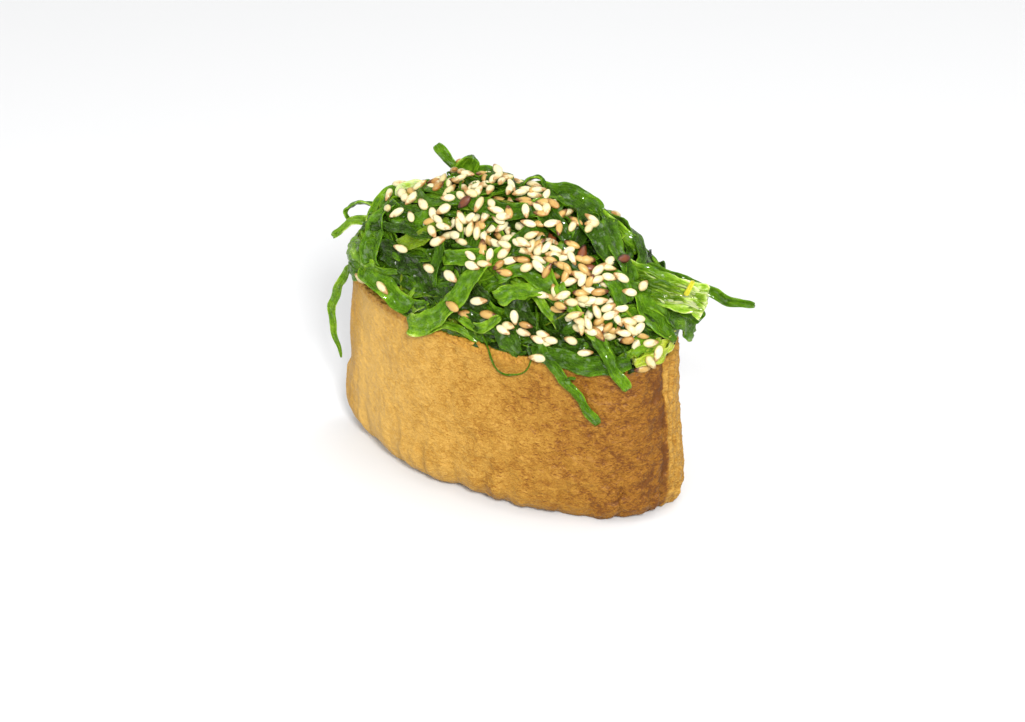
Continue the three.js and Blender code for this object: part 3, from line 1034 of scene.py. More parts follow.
class Blade:
    """The strip that every shred is a bent copy of: a rod pressed flat to a lens-like section."""

    LINE_STEPS = 48

    def __init__(self, sides: int, steps: int) -> None:
        """Models the rod: a cylinder cut across into steps.

        Args:
            sides: how many faces lie round it.
            steps: how many lie along it.
        """
        deselect()
        bpy.ops.mesh.primitive_cylinder_add(
            vertices=sides, radius=1, depth=1, end_fill_type="NGON", location=(0, 0, 0.5)
        )
        rod = bpy.context.object
        bpy.ops.object.transform_apply(location=True)
        bpy.ops.object.mode_set(mode="EDIT")
        bpy.ops.mesh.select_all(action="DESELECT")
        bpy.ops.object.mode_set(mode="OBJECT")
        for edge in rod.data.edges:
            low, high = (rod.data.vertices[i].co.z for i in edge.vertices)
            edge.select = abs(high - low) > 0.5
        bpy.context.tool_settings.mesh_select_mode = (False, True, False)
        bpy.ops.object.mode_set(mode="EDIT")
        bpy.ops.mesh.subdivide_edgering(number_cuts=steps - 1, interpolation="LINEAR")
        bpy.ops.object.mode_set(mode="OBJECT")
        shape, self.faces = take_mesh(rod)
        self.share = np.clip(shape[:, 2], 0, 1)
        turn = np.arctan2(shape[:, 1], shape[:, 0])
        self.across = np.sign(np.cos(turn)) * np.abs(np.cos(turn)) ** 0.85
        self.flat = np.sin(turn)
        self.finest = 0.075 * steps

    def middle(self, shred: Shred, mound: Mound, phase: float) -> tuple[Array, Array, Array, Array]:
        """The shred's middle line.

        Args:
            shred: the shred.
            mound: what it lies on.
            phase: shifts its waves.

        Returns:
            The line's points, the ways that the flat side and an edge look there, and how far
            along it each point is.
        """
        line = smooth_line(shred.line, self.LINE_STEPS)
        grid = np.linspace(0, 1, len(line))
        run = grid * float(np.linalg.norm(np.diff(line, axis=0), axis=1).sum())
        ahead = rows_to_unit(np.gradient(line, axis=0))
        if shred.face is None:
            flat = np.array([mound.normal(p) for p in line])
        else:
            flat = np.tile(np.asarray(shred.face, float), (len(line), 1))
        flat = rows_to_unit(flat - ahead * np.sum(flat * ahead, axis=1, keepdims=True))
        side = np.cross(flat, ahead)
        turn = shred.twist * (grid - 0.5) + 0.22 * np.sin(0.55 * run + 1.9 * phase)
        cos, sin = np.cos(turn)[:, None], np.sin(turn)[:, None]
        flat, side = flat * cos - side * sin, side * cos + flat * sin
        return line + side * (0.16 * np.sin(1.1 * run + 2.7 * phase))[:, None], flat, side, run

    def bend(self, shred: Shred, mound: Mound, phase: float) -> tuple[Array, float]:
        """Bends a copy of the blade along a shred's line.

        Args:
            shred: the shred.
            mound: what it lies on.
            phase: shifts its waves, so that no two shreds wave alike.

        Returns:
            Its points and its length.
        """
        line, flat, side, line_run = self.middle(shred, mound, phase)
        grid = np.linspace(0, 1, len(line))
        length = float(line_run[-1])
        line, flat, side = (
            np.stack([np.interp(self.share, grid, rows[:, k]) for k in range(3)], axis=-1)
            for rows in (line, flat, side)
        )
        run = self.share * length
        shift = phase + 1.3 * np.sign(self.across)

        # its width, rounded off at the ends and ragged at the edges
        wide = np.interp(self.share, np.linspace(0, 1, len(shred.outline)), shred.outline)
        wide *= 1 - 0.3 * np.abs(2 * self.share - 1) ** 22
        uneven = np.sin(run * 0.7 + shift) + 0.6 * np.sin(run * 1.6 + 2 * shift)
        wide *= 1 + shred.ragged * (uneven + 0.2 * np.sin(run * self.finest + 3 * shift))

        # how far each point is lifted: a cupped section, frilled edges, a fold and crumples
        edge = np.abs(self.across) ** 2
        wave = np.sin(run * 1.0 + shift) + 0.5 * np.sin(run * 2.1 + 3 * shift)
        fold = np.sin(4.3 * self.across + 2.3 * phase + 0.6 * np.sin(0.5 * run))
        lift = shred.width * (shred.cup * (edge - 0.4) + shred.frill * wave * edge)
        lift += 0.05 * shred.width * fold
        lift += 0.09 * np.sin(run * 1.3 + 2.2 * phase + 1.2 * self.across)
        lift += 0.05 * np.sin(run * 3.1 - 2.5 * self.across + 4 * phase)
        # its thickness, with faint ribs
        ribbed = 1 + 0.12 * np.cos(self.across * 8)
        thick = self.flat * ribbed * shred.thickness / 2 * (0.75 + 0.3 * wide)
        across = self.across * wide * shred.width / 2
        return line + side * across[:, None] + flat * (lift + thick)[:, None], length


# The shreds that stand out of the tangle or hang over the rim, as they lie.
CREST = [
    Shred([[-9, 4, 53.2], [-12.4, 4.8, 55.4], [-15, 4.9, 57], [-17, 5, 59]], 2.2, 0.56,
          (0.3, -0.9, 0.5), (0.9, 0.55, 0.6, 0.95, 0.9), thickness=0.9),
    Shred([[-11.4, 5, 53], [-11, 5.4, 55.6], [-9.9, 5.6, 57.6]], 4.2, 0.6, (0.4, -0.9, 0.2),
          (0.6, 1, 1, 0.8), thickness=1.2, cup=0.2),
    Shred([[-13.5, 3.5, 53], [-10, 4.4, 54.6], [-6.5, 4.6, 54.9], [-3, 3, 54]], 3.4, 0.5,
          frill=0.08),
    Shred([[-9.6, 5.2, 54.9], [-7.4, 5.8, 55.4], [-5.4, 5.6, 54.2], [-2, 2.8, 53.6]], 2.6, 0.6,
          (0.3, -0.5, 0.8), cup=0.25),
    Shred([[-6.2, -3.5, 55], [-3.2, -4.7, 54.6], [0.6, -5, 54.4], [4.9, -4, 54.7], [8, -1.4, 55.2]],
          3.0, 0.46, outline=(0.7, 1, 1, 0.8)),
    Shred([[2.6, 3, 55], [4.6, 4.4, 54.9], [7, 5, 54.9], [10.1, 5.5, 55.1], [13.1, 5.5, 54.1],
          [15.6, 5, 52.8]], 3.4, 0.5, (0.15, -0.75, 0.6)),
    Shred([[1.4, 2.5, 55.5], [2.6, 2.8, 57.4], [4.3, 3, 58.2], [5.3, 3, 57.7], [5.9, 2.5, 56.3]],
          1.0, 0.5),
    Shred([[14, 5.4, 52.2], [16.4, 5.4, 50.8], [18.8, 5.2, 49.6], [21.2, 4.8, 48.4],
          [23.3, 4.4, 47.2]], 3.2, 0.64, (0.45, -0.8, 0.35), ragged=0.03,
          outline=(0.7, 1, 1.05, 1.1, 1.15, 1.1, 0.75), thickness=0.9, cup=0.12),
    Shred([[7.8, 3.3, 55.0], [13, 2.2, 53.6], [17.8, -1.2, 51.5], [21.3, -3.8, 48.4]], 4.4, 0.38,
          cup=0.2),
    Shred([[15.9, 5.9, 52], [19.9, 0.8, 50.3], [23.1, -1.9, 48], [25.9, -2.8, 45.5]], 3.4, 0.46),
    Shred([[-1, 1.5, 55.6], [4, -0.5, 55.5], [9, -2.6, 54.4], [14, -4.6, 51.6]], 3.6, 0.34),
]
POINTED_END = [
    Shred([[-26, 1, 44.5], [-29, 1.6, 46], [-32, 1.5, 45.4], [-34.2, 1.4, 43.5],
          [-33.4, 1.3, 41.8]], 1.5, 0.64),
    Shred([[-23.5, -0.5, 43], [-29.5, 0, 43.4], [-33.5, 0, 41.2], [-36.3, 0, 38.2]], 1.8, 0.76,
          (0.2, -0.8, 0.6)),
    Shred([[-28, -4.5, 36.5], [-31.5, -2.4, 34], [-34.2, -1.6, 29.8], [-36, -1.2, 25.2],
          [-36.6, -1, 21], [-34.7, -1.2, 13.6]], 1.7, 0.7, (0.3, -0.9, 0.2),
          (0.5, 0.6, 1, 1, 0.75, 0.3)),
    Shred([[-26.4, -4.1, 42.8], [-27.4, 0, 44.8], [-26, 0.9, 47.5], [-23.4, 1.8, 49.6],
          [-20.6, 1.4, 50.4]], 3.0, 0.6, (-0.3, -0.7, 0.6), cup=0.2),
    # its tone is raised: painted light on a side that lies in shade
    Shred([[-23.8, -6.4, 42.9], [-30.2, -3.9, 38.8], [-31.7, -1.9, 35], [-28.3, -6.4, 35.6],
          [-22, -8.3, 38.4]], 2.5, 0.56),
    Shred([[-25, -7.9, 37.5], [-22.4, -9.2, 37.4], [-19.4, -10.3, 36.7], [-16.4, -11.1, 35.5],
          [-13.9, -11.6, 34.3]], 3.8, 0.58, (-0.15, -0.75, 0.65), ragged=0.03, cup=0.15,
          outline=(0.85, 1, 1, 0.95)),
    Shred([[-23.4, -8, 39.8], [-24.1, -6.2, 43.2], [-24, -4.1, 46.6], [-22.6, -1.4, 48.6]], 4.4,
          0.48, cup=0.2),
    Shred([[-26, -2, 43.8], [-25.2, 0.4, 46.3], [-23.4, 1.4, 48.6], [-20.6, 1.8, 50]], 4.2, 0.56,
          frill=0.1),
    Shred([[-22.4, 1.2, 50], [-21.1, 1.6, 51.2], [-19.5, 1.8, 51.8], [-17.2, 1.4, 51.7]], 2.4, 1.05,
          (0.1, -0.9, 0.5), thickness=0.9, frill=0.12),
    Shred([[-28.1, -3, 43.3], [-22.7, -5.4, 46.1], [-16.6, -7.4, 47.5], [-10.6, -8.5, 47.9]], 1.7,
          0.36, thickness=0.7),
    Shred([[-17.6, -8.2, 44.5], [-14.3, -8.2, 46.5], [-10.9, -7.6, 49.1], [-8, -6.9, 51.1]], 2.8,
          0.5, ripe=0.12, frill=0.1),
    # its tone is raised: painted light on a side that lies in shade
    Shred([[-30.9, -2.6, 38.9], [-28.8, -4.8, 39.6], [-26, -6.6, 39.2], [-23, -8, 38]], 4.4, 0.7,
          cup=-0.2),
    Shred([[-31.9, -1.4, 36.7], [-29.1, -5.4, 37.2], [-23.8, -7.9, 38.4], [-17.2, -9.8, 40]], 1.5,
          0.62),
    Shred([[-22.6, -7, 42], [-18, -8.4, 42.6], [-13, -9.8, 41.6], [-9.8, -11, 38.8]], 4.0, 0.2),
]
FRONT = [
    Shred([[1.1, -10.3, 47.3], [-1.9, -11.4, 42.9], [-5.1, -12.2, 37.8], [-8, -12.4, 34.6],
          [-11.5, -12, 32.1], [-14.3, -11.4, 30.7]], 3.7, 0.6, (-0.1, -0.9, 0.35), ragged=0.03,
          frill=0.02, outline=(0.75, 0.9, 0.9, 1.0, 1.05, 1.25), brighten=0.1, cup=0.12),
    Shred([[-0.6, -11.2, 31.4], [-2.1, -11.7, 32], [-4.2, -12.1, 33.4], [-6.3, -12.3, 33.3],
          [-9.9, -12, 31], [-13.2, -11.4, 29]], 1.4, 0.7, (-0.1, -0.7, 0.7)),
    Shred([[-7, -10.3, 45.7], [-3, -10.4, 46.9], [0.9, -9.8, 47.2], [4.7, -8.3, 49]], 3.0, 0.6,
          frill=0.08, cup=0.2),
    Shred([[-8.9, -8.6, 47.7], [-9, -10.4, 44.2], [-9.4, -11, 39.8]], 1.9, 0.42),
    Shred([[3.4, -11.7, 41], [7.4, -11.2, 43], [12, -10.4, 43.8]], 3.0, 0.64, frill=0.16,
          ragged=0.14),
    Shred([[15, -10.2, 45.3], [17.8, -11.1, 42.5], [20.4, -11.4, 39.9], [22.8, -11.2, 37.2]], 2.2,
          0.7),
    Shred([[11.5, -11.5, 35], [14.9, -13, 31.4], [19.6, -13.2, 26.9], [23.9, -12.6, 21.2]], 2.0,
          0.52, (0.15, -1, 0.1), (0.9, 0.95, 1, 0.9), thickness=0.7, cup=0.0),
    Shred([[17.9, -13.1, 28.8], [19.0, -13.3, 29.8], [19.8, -13.2, 29.9]], 0.6, 0.55, (0, -1, 0.1),
          rooted=False),
    Shred([[22.5, -10.4, 38], [24.9, -11.2, 34.2], [26.8, -11.1, 31], [28.7, -10.5, 28.6]], 2.4,
          0.52, (0.4, -0.9, 0.3), (0.9, 1, 0.8, 0.95), brighten=0.14, thickness=0.8),
    Shred([[12, -12.2, 33], [18.5, -12.2, 32.2], [24, -11.3, 32.2], [28.6, -9.5, 33.2]], 3.6, 0.44,
          (0.1, -1, 0.3), cup=0.0),
    Shred([[-3.1, -12.1, 35.7], [-0.6, -12.4, 34.6], [2.5, -12.4, 35.6], [4.6, -12.2, 37.8]], 1.9,
          0.68, cup=0.25),
    Shred([[4.5, -11.6, 35.4], [6.1, -12.3, 34.2], [7.8, -12.7, 32.8], [8.8, -12.8, 31.9]], 4.2,
          0.36, (0, -0.9, 0.3), ragged=0.14),
    Shred([[3.3, -10.5, 44.5], [6.1, -9.9, 46.2], [9.7, -9.9, 45.8], [13, -10.3, 44.1]], 2.4, 0.58,
          frill=0.14, ragged=0.12),
    Shred([[11.5, -8.9, 47.9], [13, -9.6, 46.2], [14.6, -10.2, 44.4], [16.4, -10.7, 42.8]], 2.0,
          0.68),
    Shred([[4.6, -10.5, 43], [6.6, -11, 40.9], [8.8, -11.5, 38.1], [11.4, -12, 34.2]], 4.4, 0.2),
    Shred([[-0.6, -12, 34.8], [5.2, -11.8, 34.2], [9.1, -11.8, 34.7], [13.7, -11.8, 34.1]], 1.8,
          0.42),
    Shred([[-1.6, -11.5, 36.4], [4.2, -11.5, 36.2], [9.5, -11.6, 36.3], [14.4, -11.7, 35.8]], 2.4,
          0.3),
    Shred([[13.7, -7.3, 48.2], [17.7, -7.6, 46.6], [21.5, -8.3, 43.1], [24.7, -9.3, 38.4]], 4.2,
          0.28),
    Shred([[-6.2, -9, 46.6], [2.6, -8.7, 47.3], [8.4, -8.6, 47.4], [13.7, -7.4, 48.2]], 3.2, 0.3),
    Shred([[-17.4, -8.9, 41.4], [-8.7, -9.8, 43], [-2.3, -10.6, 41.8], [2, -11.3, 39.6]], 3.6,
          0.22),
    Shred([[-4.5, -11, 40.2], [-1, -11.6, 37.8], [1.5, -11.9, 35.4], [3, -11.9, 33.6]], 3.8, 0.18),
]
BLUNT_END = [
    Shred([[25, 3.4, 45.0], [32.7, 5.0, 43.1], [38.3, 5.8, 41.3], [42.4, 6, 40.7],
          [44.8, 6.2, 41.0]], 2.0, 0.54, (0, -0.7, 0.7), (0.7, 0.8, 1, 1, 0.6), thickness=0.6),
    Shred([[28.6, -2.5, 42.5], [32, 0, 38.8], [33.6, 2.8, 35.8], [34.1, 4.5, 33]], 4.2, 0.54,
          frill=0.08, ragged=0.1),
    Shred([[27.2, -3.6, 44], [29.6, -3.7, 40.8], [31.5, -3.2, 38], [33.6, -2.4, 35.2]], 5.0, 0.58,
          outline=(0.6, 1.0, 1.0, 0.3), cup=0.1),
    Shred([[31.4, 2, 41.2], [34, 2, 39.8], [36.6, 2, 38]], 3.4, 0.5, (0.2, -0.9, 0.4), frill=0.14,
          ragged=0.14),
    Shred([[29, -8.4, 32.8], [31.2, -7, 33.2], [32.6, -4.4, 33.8], [33.0, -1.5, 34.3]], 2.0, 0.84,
          frill=0.2, ragged=0.16, ripe=0.3),
    Shred([[30.2, -7, 33.6], [31, -5.9, 35.2], [31.8, -4, 36]], 1.8, 0.8, frill=0.24, ragged=0.18,
          ripe=0.2),
    Shred([[31.4, -4.6, 34.6], [32.4, -2.8, 35.6], [32.6, -0.6, 35.6]], 1.9, 0.86, frill=0.24,
          ragged=0.18, ripe=0.4),
    Shred([[28.4, -8.2, 34], [29.8, -7.4, 35.2], [31.2, -6, 35]], 1.6, 0.74, frill=0.2,
          ragged=0.16),
    Shred([[22.6, -5.6, 47], [24.8, -6.4, 45.4], [26.4, -6.7, 43.2]], 3.8, 0.5,
          outline=(0.7, 1, 0.9)),
    Shred([[26.3, -8.3, 38.5], [28.7, -6.2, 39.5], [31.1, -4.3, 37.7]], 3.6, 0.24),
]


@dataclass(frozen=True)
class Filler:
    """The ranges of a sort of shred in the tangle."""

    lengths: tuple[float, float]
    widths: tuple[float, float]
    lifts: tuple[float, float]
    tones: tuple[float, float]
    thick: tuple[float, float] = (0.4, 0.7)
    curl: float = 2.0
    twist: float = 1.6
    frill: float = 0.06


# the deep tangle lies lowest and has the darkest tones: painted shade of the heap's inside
DEEP = Filler((8, 22), (1.2, 4.2), (-2.2, -0.8), (0.08, 0.36))
LEAF = Filler((7, 15), (2.6, 5.2), (-1.1, 0.0), (0.22, 0.6), twist=0.8, frill=0.1)
LOOSE = Filler((12, 30), (0.6, 2.1), (-0.8, 0.25), (0.36, 0.74))
THREAD = Filler((5, 16), (0.25, 0.45), (-0.3, 0.5), (0.45, 0.75), (0.25, 0.35), curl=4.0)

# The broad stems of the bundle, as they lie: x, then y and z with what a whole lane adds to them.
STALK = (
    (21.5, 0.4, -2.6, 46.7, -3.2),
    (26.5, 0.6, -2.6, 45.4, -2.5),
    (31.5, 0.9, -2.4, 44.6, -2.0),
    (35.4, 1.3, -2.2, 44.1, -1.8),
    (38.2, 1.7, -2.0, 43.6, -1.8),
)
STEM_FACE = (0.1, -1, 0.45)
STEM_START, STEM_LENGTH = 21.5, 16.7

# The hair-fine ring that hangs over the rim, and the tufts beside it.
RING = (
    *((0.5, -11.6, 33.2), (2.4, -12.6, 31.4), (2.9, -12.9, 29.4), (4.3, -13.1, 27.7)),
    *((6.4, -13.2, 26.9), (8.7, -13.1, 27.6), (10.6, -12.9, 29.7), (11.2, -12.2, 32)),
)
TUFTS = (
    ((4.2, -11.8, 32.4), (5.2, -12.4, 31.4), (6.6, -12.5, 31.7)),
    ((5.4, -11.8, 32.8), (6.9, -12.4, 31.2), (8.2, -12.5, 30.8)),
    ((7.6, -11.8, 32.6), (8.6, -12.4, 31.7), (9.9, -12.4, 31.9)),
)


@dataclass
class Salad:
    """The heap of seaweed: its core, the tangle, the shreds that stand out, and the stems."""

    mound: Mound
    pouch: Pouch
    root: float = 2.2  # how deep a shred's first end goes into the mound
    clear: float = 0.4  # between the core and the recess
    core_depth: float = 2.5  # of the core under the mound's surface
    core_around: int = 96
    core_rings: int = 20
    low_wander: float = 2.5  # how far above the mound's base the wandering shreds stay
    low_filler: float = 2.2  # and the shreds of the tangle
    dive: float = 1.2  # how much deeper the ends of a tangle's shred lie
    wandering: int = 17
    deep: int = 230
    leaves: int = 62
    loose: int = 70
    threads: int = 46
    left_out: frozenset[int] = frozenset({44, 45})  # leaves that would hide the blunt end's saddle
    wander_seed: int = 15
    tangle_seed: int = 4
    stem_seed: int = 8
    thread_seed: int = 77
    phase_step: float = 1.7  # between the waves of a shred and the next one
    uv_step: float = 9.3  # between the patterns of a shred and the next one

    def core(self) -> bpy.types.Object:
        """The heart that fills the recess and the inside of the mound, dark with painted shade."""
        mound, pouch = self.mound, self.pouch
        angle = full_turn(self.core_around)
        low = pouch.inside(angle, pouch.skin + pouch.recess_lean + self.clear, 0)
        low[:, 2] = pouch.height - pouch.recess + self.clear
        top = pouch.inside(angle, pouch.skin + self.clear, -pouch.rim_drop)
        rings = [shrunk(low, 0.02), low, top]
        plan = Outline(mound.half_length - 2, mound.half_width - 1.5, 0.5, 3.0)
        x, y = plan.point(angle)
        for climb in np.linspace(4, 88, self.core_rings):
            out, up = math.cos(math.radians(climb)), math.sin(math.radians(climb))
            z = np.full_like(x, mound.base + mound.height * up)
            ring = np.stack([x * out, y * out, z], axis=-1)
            lumps = 0.4 * np.sin(7 * angle + climb / 9) + 0.3 * np.sin(12 * angle - climb / 5)
            for i, p in enumerate(ring):
                q = mound.onto(p)
                ring[i] = mound.tucked(q + mound.normal(q) * (lumps[i] - self.core_depth), 3.2)
            rings.append(ring)
        # its low tone is painted shade, as the heap's inside lies in shade
        return rolled_sheet("salad_core", np.stack(rings), tone=0.1, ripe=0.0)

    def trail(
        self, start: Array, heading: float, curl: float, length: float, lifts: Numbers, low: float
    ) -> list[Array]:
        """A line that wanders over the mound.

        Args:
            start: where it starts.
            heading: the way it sets off, in radians from level.
            curl: how far it turns on its way, in radians.
            length: how long it is.
            lifts: how high over the mound each of its points is.
            low: how far above the mound's base it stays.

        Returns:
            Its points.
        """
        steps = len(lifts) - 1
        line, p = [], start
        for lift in lifts:
            out = self.mound.normal(p)
            level = unit(np.cross([0, 0, 1], out))
            uphill = np.cross(out, level)
            line.append(self.mound.tucked(p + out * lift))
            stride = level * math.cos(heading) + uphill * math.sin(heading)
            p = self.mound.onto(p + stride * length / steps)
            p[2] = max(p[2], self.mound.base + low)
            heading += curl / steps
        return line

    def wander(self, share: float, dice: Dice) -> Shred:
        """A shred that wanders over the mound, as in the part's source.

        Args:
            share: its place between the front rim and the back rim.
            dice: the random numbers.

        Returns:
            The shred.
        """
        steps = 6
        start = self.mound.point(dice.roll(-29, 29), 12 + 154 * share)
        length = dice.roll(14, 30)
        width = dice.roll(1.6, 3.4)
        arch = dice.roll(0.1, 1.5)
        curl = dice.roll(-1.6, 1.6)
        twist = dice.roll(-1.8, 1.8)
        heading = dice.roll(-0.9, 0.9)
        heading += math.pi / 2 if dice.roll() < 0.25 else 0.0
        between = [arch * math.sin(math.pi * i / steps) - 0.5 for i in range(1, steps)]
        lifts = [-self.root, *between, -self.root]
        line = self.trail(start, heading, curl, length, lifts, self.low_wander)
        return Shred(line, width, 0.68 - 0.1 * width, twist=twist, rooted=False)

    def filler(self, dice: Dice, kind: Filler) -> Shred:
        """A shred of the tangle that covers the mound.

        Args:
            dice: the random numbers.
            kind: what sort of shred it is.

        Returns:
            The shred.
        """
        steps = 8
        start = self.mound.point(dice.roll(-31, 31), dice.roll(6, 174))
        length = dice.roll(*kind.lengths)
        curl = dice.roll(-kind.curl, kind.curl)
        heading = dice.roll(-0.8, 0.5) + (math.pi / 2 if dice.roll() < 0.2 else 0.0)
        lift = dice.roll(*kind.lifts)
        sway = dice.roll(0.1, 0.45)
        phase = dice.roll(0, 6)
        lifts = [lift + sway * math.sin(1.7 * i + phase) for i in range(steps + 1)]
        for end in (0, -1):
            lifts[end] -= self.dive
        line = self.trail(start, heading, curl, length, lifts, self.low_filler)
        ranges = ((0.5, 0.9), (0.8, 1.1), (0.85, 1.1), (0.4, 0.9))
        outline = [dice.roll(*limits) for limits in ranges]
        return Shred(
            line,
            dice.roll(*kind.widths),
            dice.roll(*kind.tones),
            outline=outline,
            thickness=dice.roll(*kind.thick),
            twist=dice.roll(-kind.twist, kind.twist),
            cup=dice.roll(-0.15, 0.3),
            frill=dice.roll(0.0, kind.frill),
            ragged=dice.roll(0.03, 0.1),
            rooted=False,
            ripe=0.2 if dice.roll() < 0.05 else 0.0,
        )

    @staticmethod
    def stalk(lane: float) -> Shred:
        """A broad stem of the bundle, at its place from the back, 0, to the front, 1."""
        line = [[x, y + dy * lane, z + dz * lane] for x, y, dy, z, dz in STALK]
        line[-1][0] -= 0.9 * abs(lane - 0.5)
        widths = (0.7, 1.0, 1.0, 1.05, 1.0)
        look = {"thickness": 1.0, "cup": 0.12, "frill": 0.06, "ragged": 0.1, "brighten": 0.32}
        return Shred(line, 2.9, 0.66, STEM_FACE, widths, **look)

    @staticmethod
    def fibre(dice: Dice, lane: float) -> Shred:
        """A thin stem that lies on the broad ones, at its place from the back to the front."""
        start = dice.roll(21, 29)
        reach = min(start + dice.roll(7, 13), 38.2 + dice.roll(-1.0, 0.3))
        line = []
        for share in np.linspace(0, 1, 5):
            x = start + (reach - start) * share
            along = (x - STEM_START) / STEM_LENGTH
            y = -0.5 + 1.3 * along**2 - 2.3 * lane + dice.roll(-0.25, 0.1)
            z = 47.1 - 2.9 * along - (3.8 - 1.4 * along) * lane + dice.roll(-0.25, 0.25)
            line.append([x, y, z])
        return Shred(
            line,
            dice.roll(0.4, 0.95),
            0.6 + 0.012 * (start - 21),
            STEM_FACE,
            thickness=dice.roll(0.4, 0.7),
            rooted=False,
            brighten=dice.roll(0.25, 0.45),
        )

    @staticmethod
    def leaf_end(dice: Dice, lane: float) -> Shred:
        """A pale curl at the bundle's cut end, at its place from the back to the front."""
        x, y, z = 37.3 - 1.1 * abs(lane - 0.5), 1.1 - 2.4 * lane, 44.5 - 2.9 * lane
        lean = dice.roll(-0.8, 0.8)
        line = [[x - 1.4, y, z], [x, y - 0.3, z + 0.3 * lean], [x + 1.2, y - 0.1, z + lean]]
        look = {"thickness": 0.7, "cup": 0.3, "frill": 0.2, "ragged": 0.18, "brighten": 0.14}
        width = dice.roll(1.1, 1.9)
        return Shred(line, width, 0.82, STEM_FACE, (0.8, 1.1, 1.2), rooted=False, **look)

    def stem_bundle(self) -> list[Shred]:
        """The cut stems that reach out over the blunt end, and the yellow bit that lies on them."""
        dice = Dice(self.stem_seed)
        fibres, ends = 16, 7
        stems = [self.stalk(lane) for lane in (0.0, 0.34, 0.68, 1.0)]
        stems += [self.fibre(dice, (i + dice.roll()) / fibres) for i in range(fibres)]
        stems += [self.leaf_end(dice, (i + 0.5) / ends) for i in range(ends)]
        line = [[35, -1.6, 44.6], [35.7, -1.7, 45.9], [36.4, -1.5, 47.2]]
        look = {"thickness": 0.8, "rooted": False, "ripe": 1.0}
        return [*stems, Shred(line, 0.9, 0.8, STEM_FACE, (0.9, 1, 1.0), **look)]

    def hairs(self) -> list[Shred]:
        """The hair-fine ring that hangs over the rim, tufts beside it, and stray threads."""
        front = (0, -1, 0.1)
        hairs = [Shred(RING, 0.36, 0.55, front, thickness=0.32, cup=0.0)]
        hairs += [Shred(tuft, 0.8, 0.4, front, thickness=0.4, frill=0.1) for tuft in TUFTS]
        dice = Dice(self.thread_seed)
        return hairs + [self.filler(dice, THREAD) for _ in range(self.threads)]

    def weave(self, name: str, blade: Blade, shreds: Sequence[Shred]) -> bpy.types.Object:
        """Makes one piece of many shreds.

        Args:
            name: the piece's name.
            blade: the strip that each shred is a bent copy of.
            shreds: the shreds.

        Returns:
            The piece, with the point attributes "tone" and "ripe" and the UV map "shred".
        """
        shapes, tones, ripes, along = [], [], [], []
        for number, shred in enumerate(shreds):
            if shred.rooted:
                start = np.asarray(shred.line[0], float)
                shred.line = [start - self.mound.normal(start) * self.root, *shred.line]
            shape, length = blade.bend(shred, self.mound, self.phase_step * number)
            shapes.append(shape)
            tones.append(shred.tone + shred.brighten * ease(0.55, 1.0, blade.share))
            ripes.append(np.full(len(shape), shred.ripe))
            along.append(blade.share * length + self.uv_step * number)
        piece = copies_of(name, shapes, blade.faces)
        paint(piece, tone=np.concatenate(tones), ripe=np.concatenate(ripes))
        mesh = piece.data
        corner = np.empty(len(mesh.loops), int)
        mesh.loops.foreach_get("vertex_index", corner)
        across = np.tile((blade.across + 1) / 2, len(shapes))
        uv = np.stack([np.concatenate(along), across], axis=-1)[corner]
        mesh.uv_layers.new(name="shred").data.foreach_set("uv", uv.ravel())
        smooth_out(piece)
        return piece

    def build(self) -> list[bpy.types.Object]:
        """All pieces of the salad."""
        coarse, fine = Blade(10, 24), Blade(18, 44)
        dice = Dice(self.wander_seed)
        places = range(self.wandering)
        wandering = [self.wander((i + dice.roll()) / self.wandering, dice) for i in places]
        dice = Dice(self.tangle_seed)
        deep = [self.filler(dice, DEEP) for _ in range(self.deep)]
        leaves = [self.filler(dice, LEAF) for _ in range(self.leaves)]
        leaves = [leaf for number, leaf in enumerate(leaves) if number not in self.left_out]
        loose = [self.filler(dice, LOOSE) for _ in range(self.loose)]
        return [
            self.core(),
            self.weave("deep_tangle", coarse, deep),
            self.weave("small_leaves", fine, leaves),
            self.weave("loose_shreds", coarse, [*loose, *wandering]),
            self.weave("long_shreds", fine, [*CREST, *POINTED_END, *FRONT, *BLUNT_END]),
            self.weave("stem_bundle", fine, self.stem_bundle()),
            self.weave("fine_threads", coarse, self.hairs()),
        ]


# --- Sesame ---


class Roast(Enum):
    """How far a sesame seed is roasted."""

    CREAM = "cream"
    TOASTED = "toasted"
    DARK = "dark"


# Each roast's light skin, dark skin and point, and how much of the point's colour shows.
COATS = {
    Roast.CREAM: ((0.60, 0.54, 0.325), (0.42, 0.33, 0.125), (0.28, 0.12, 0.02), 0.85),
    Roast.TOASTED: ((0.43, 0.27, 0.075), (0.25, 0.11, 0.018), (0.075, 0.02, 0.005), 1.0),
    Roast.DARK: ((0.15, 0.04, 0.010), (0.05, 0.013, 0.006), (0.012, 0.006, 0.006), 0.9),
}

# Patches where seeds fall: place along the mound, turn round it, how far they spread along and
# round it, and how many there are.
SPRINKLES = (
    (-12, 90, 5, 5, 24),
    (-5, 94, 5, 5, 22),
    (-3.5, 73, 4.5, 5.5, 32),
    (7, 83, 6, 7.5, 38),
    (6.5, 67, 4.5, 5, 28),
    (16, 69, 4.5, 5, 28),
    (20, 53, 5, 5.5, 26),
    (25, 44, 3.5, 5, 18),
    (12, 27, 6, 4, 8),
    (0, 116, 14, 9, 22),
)

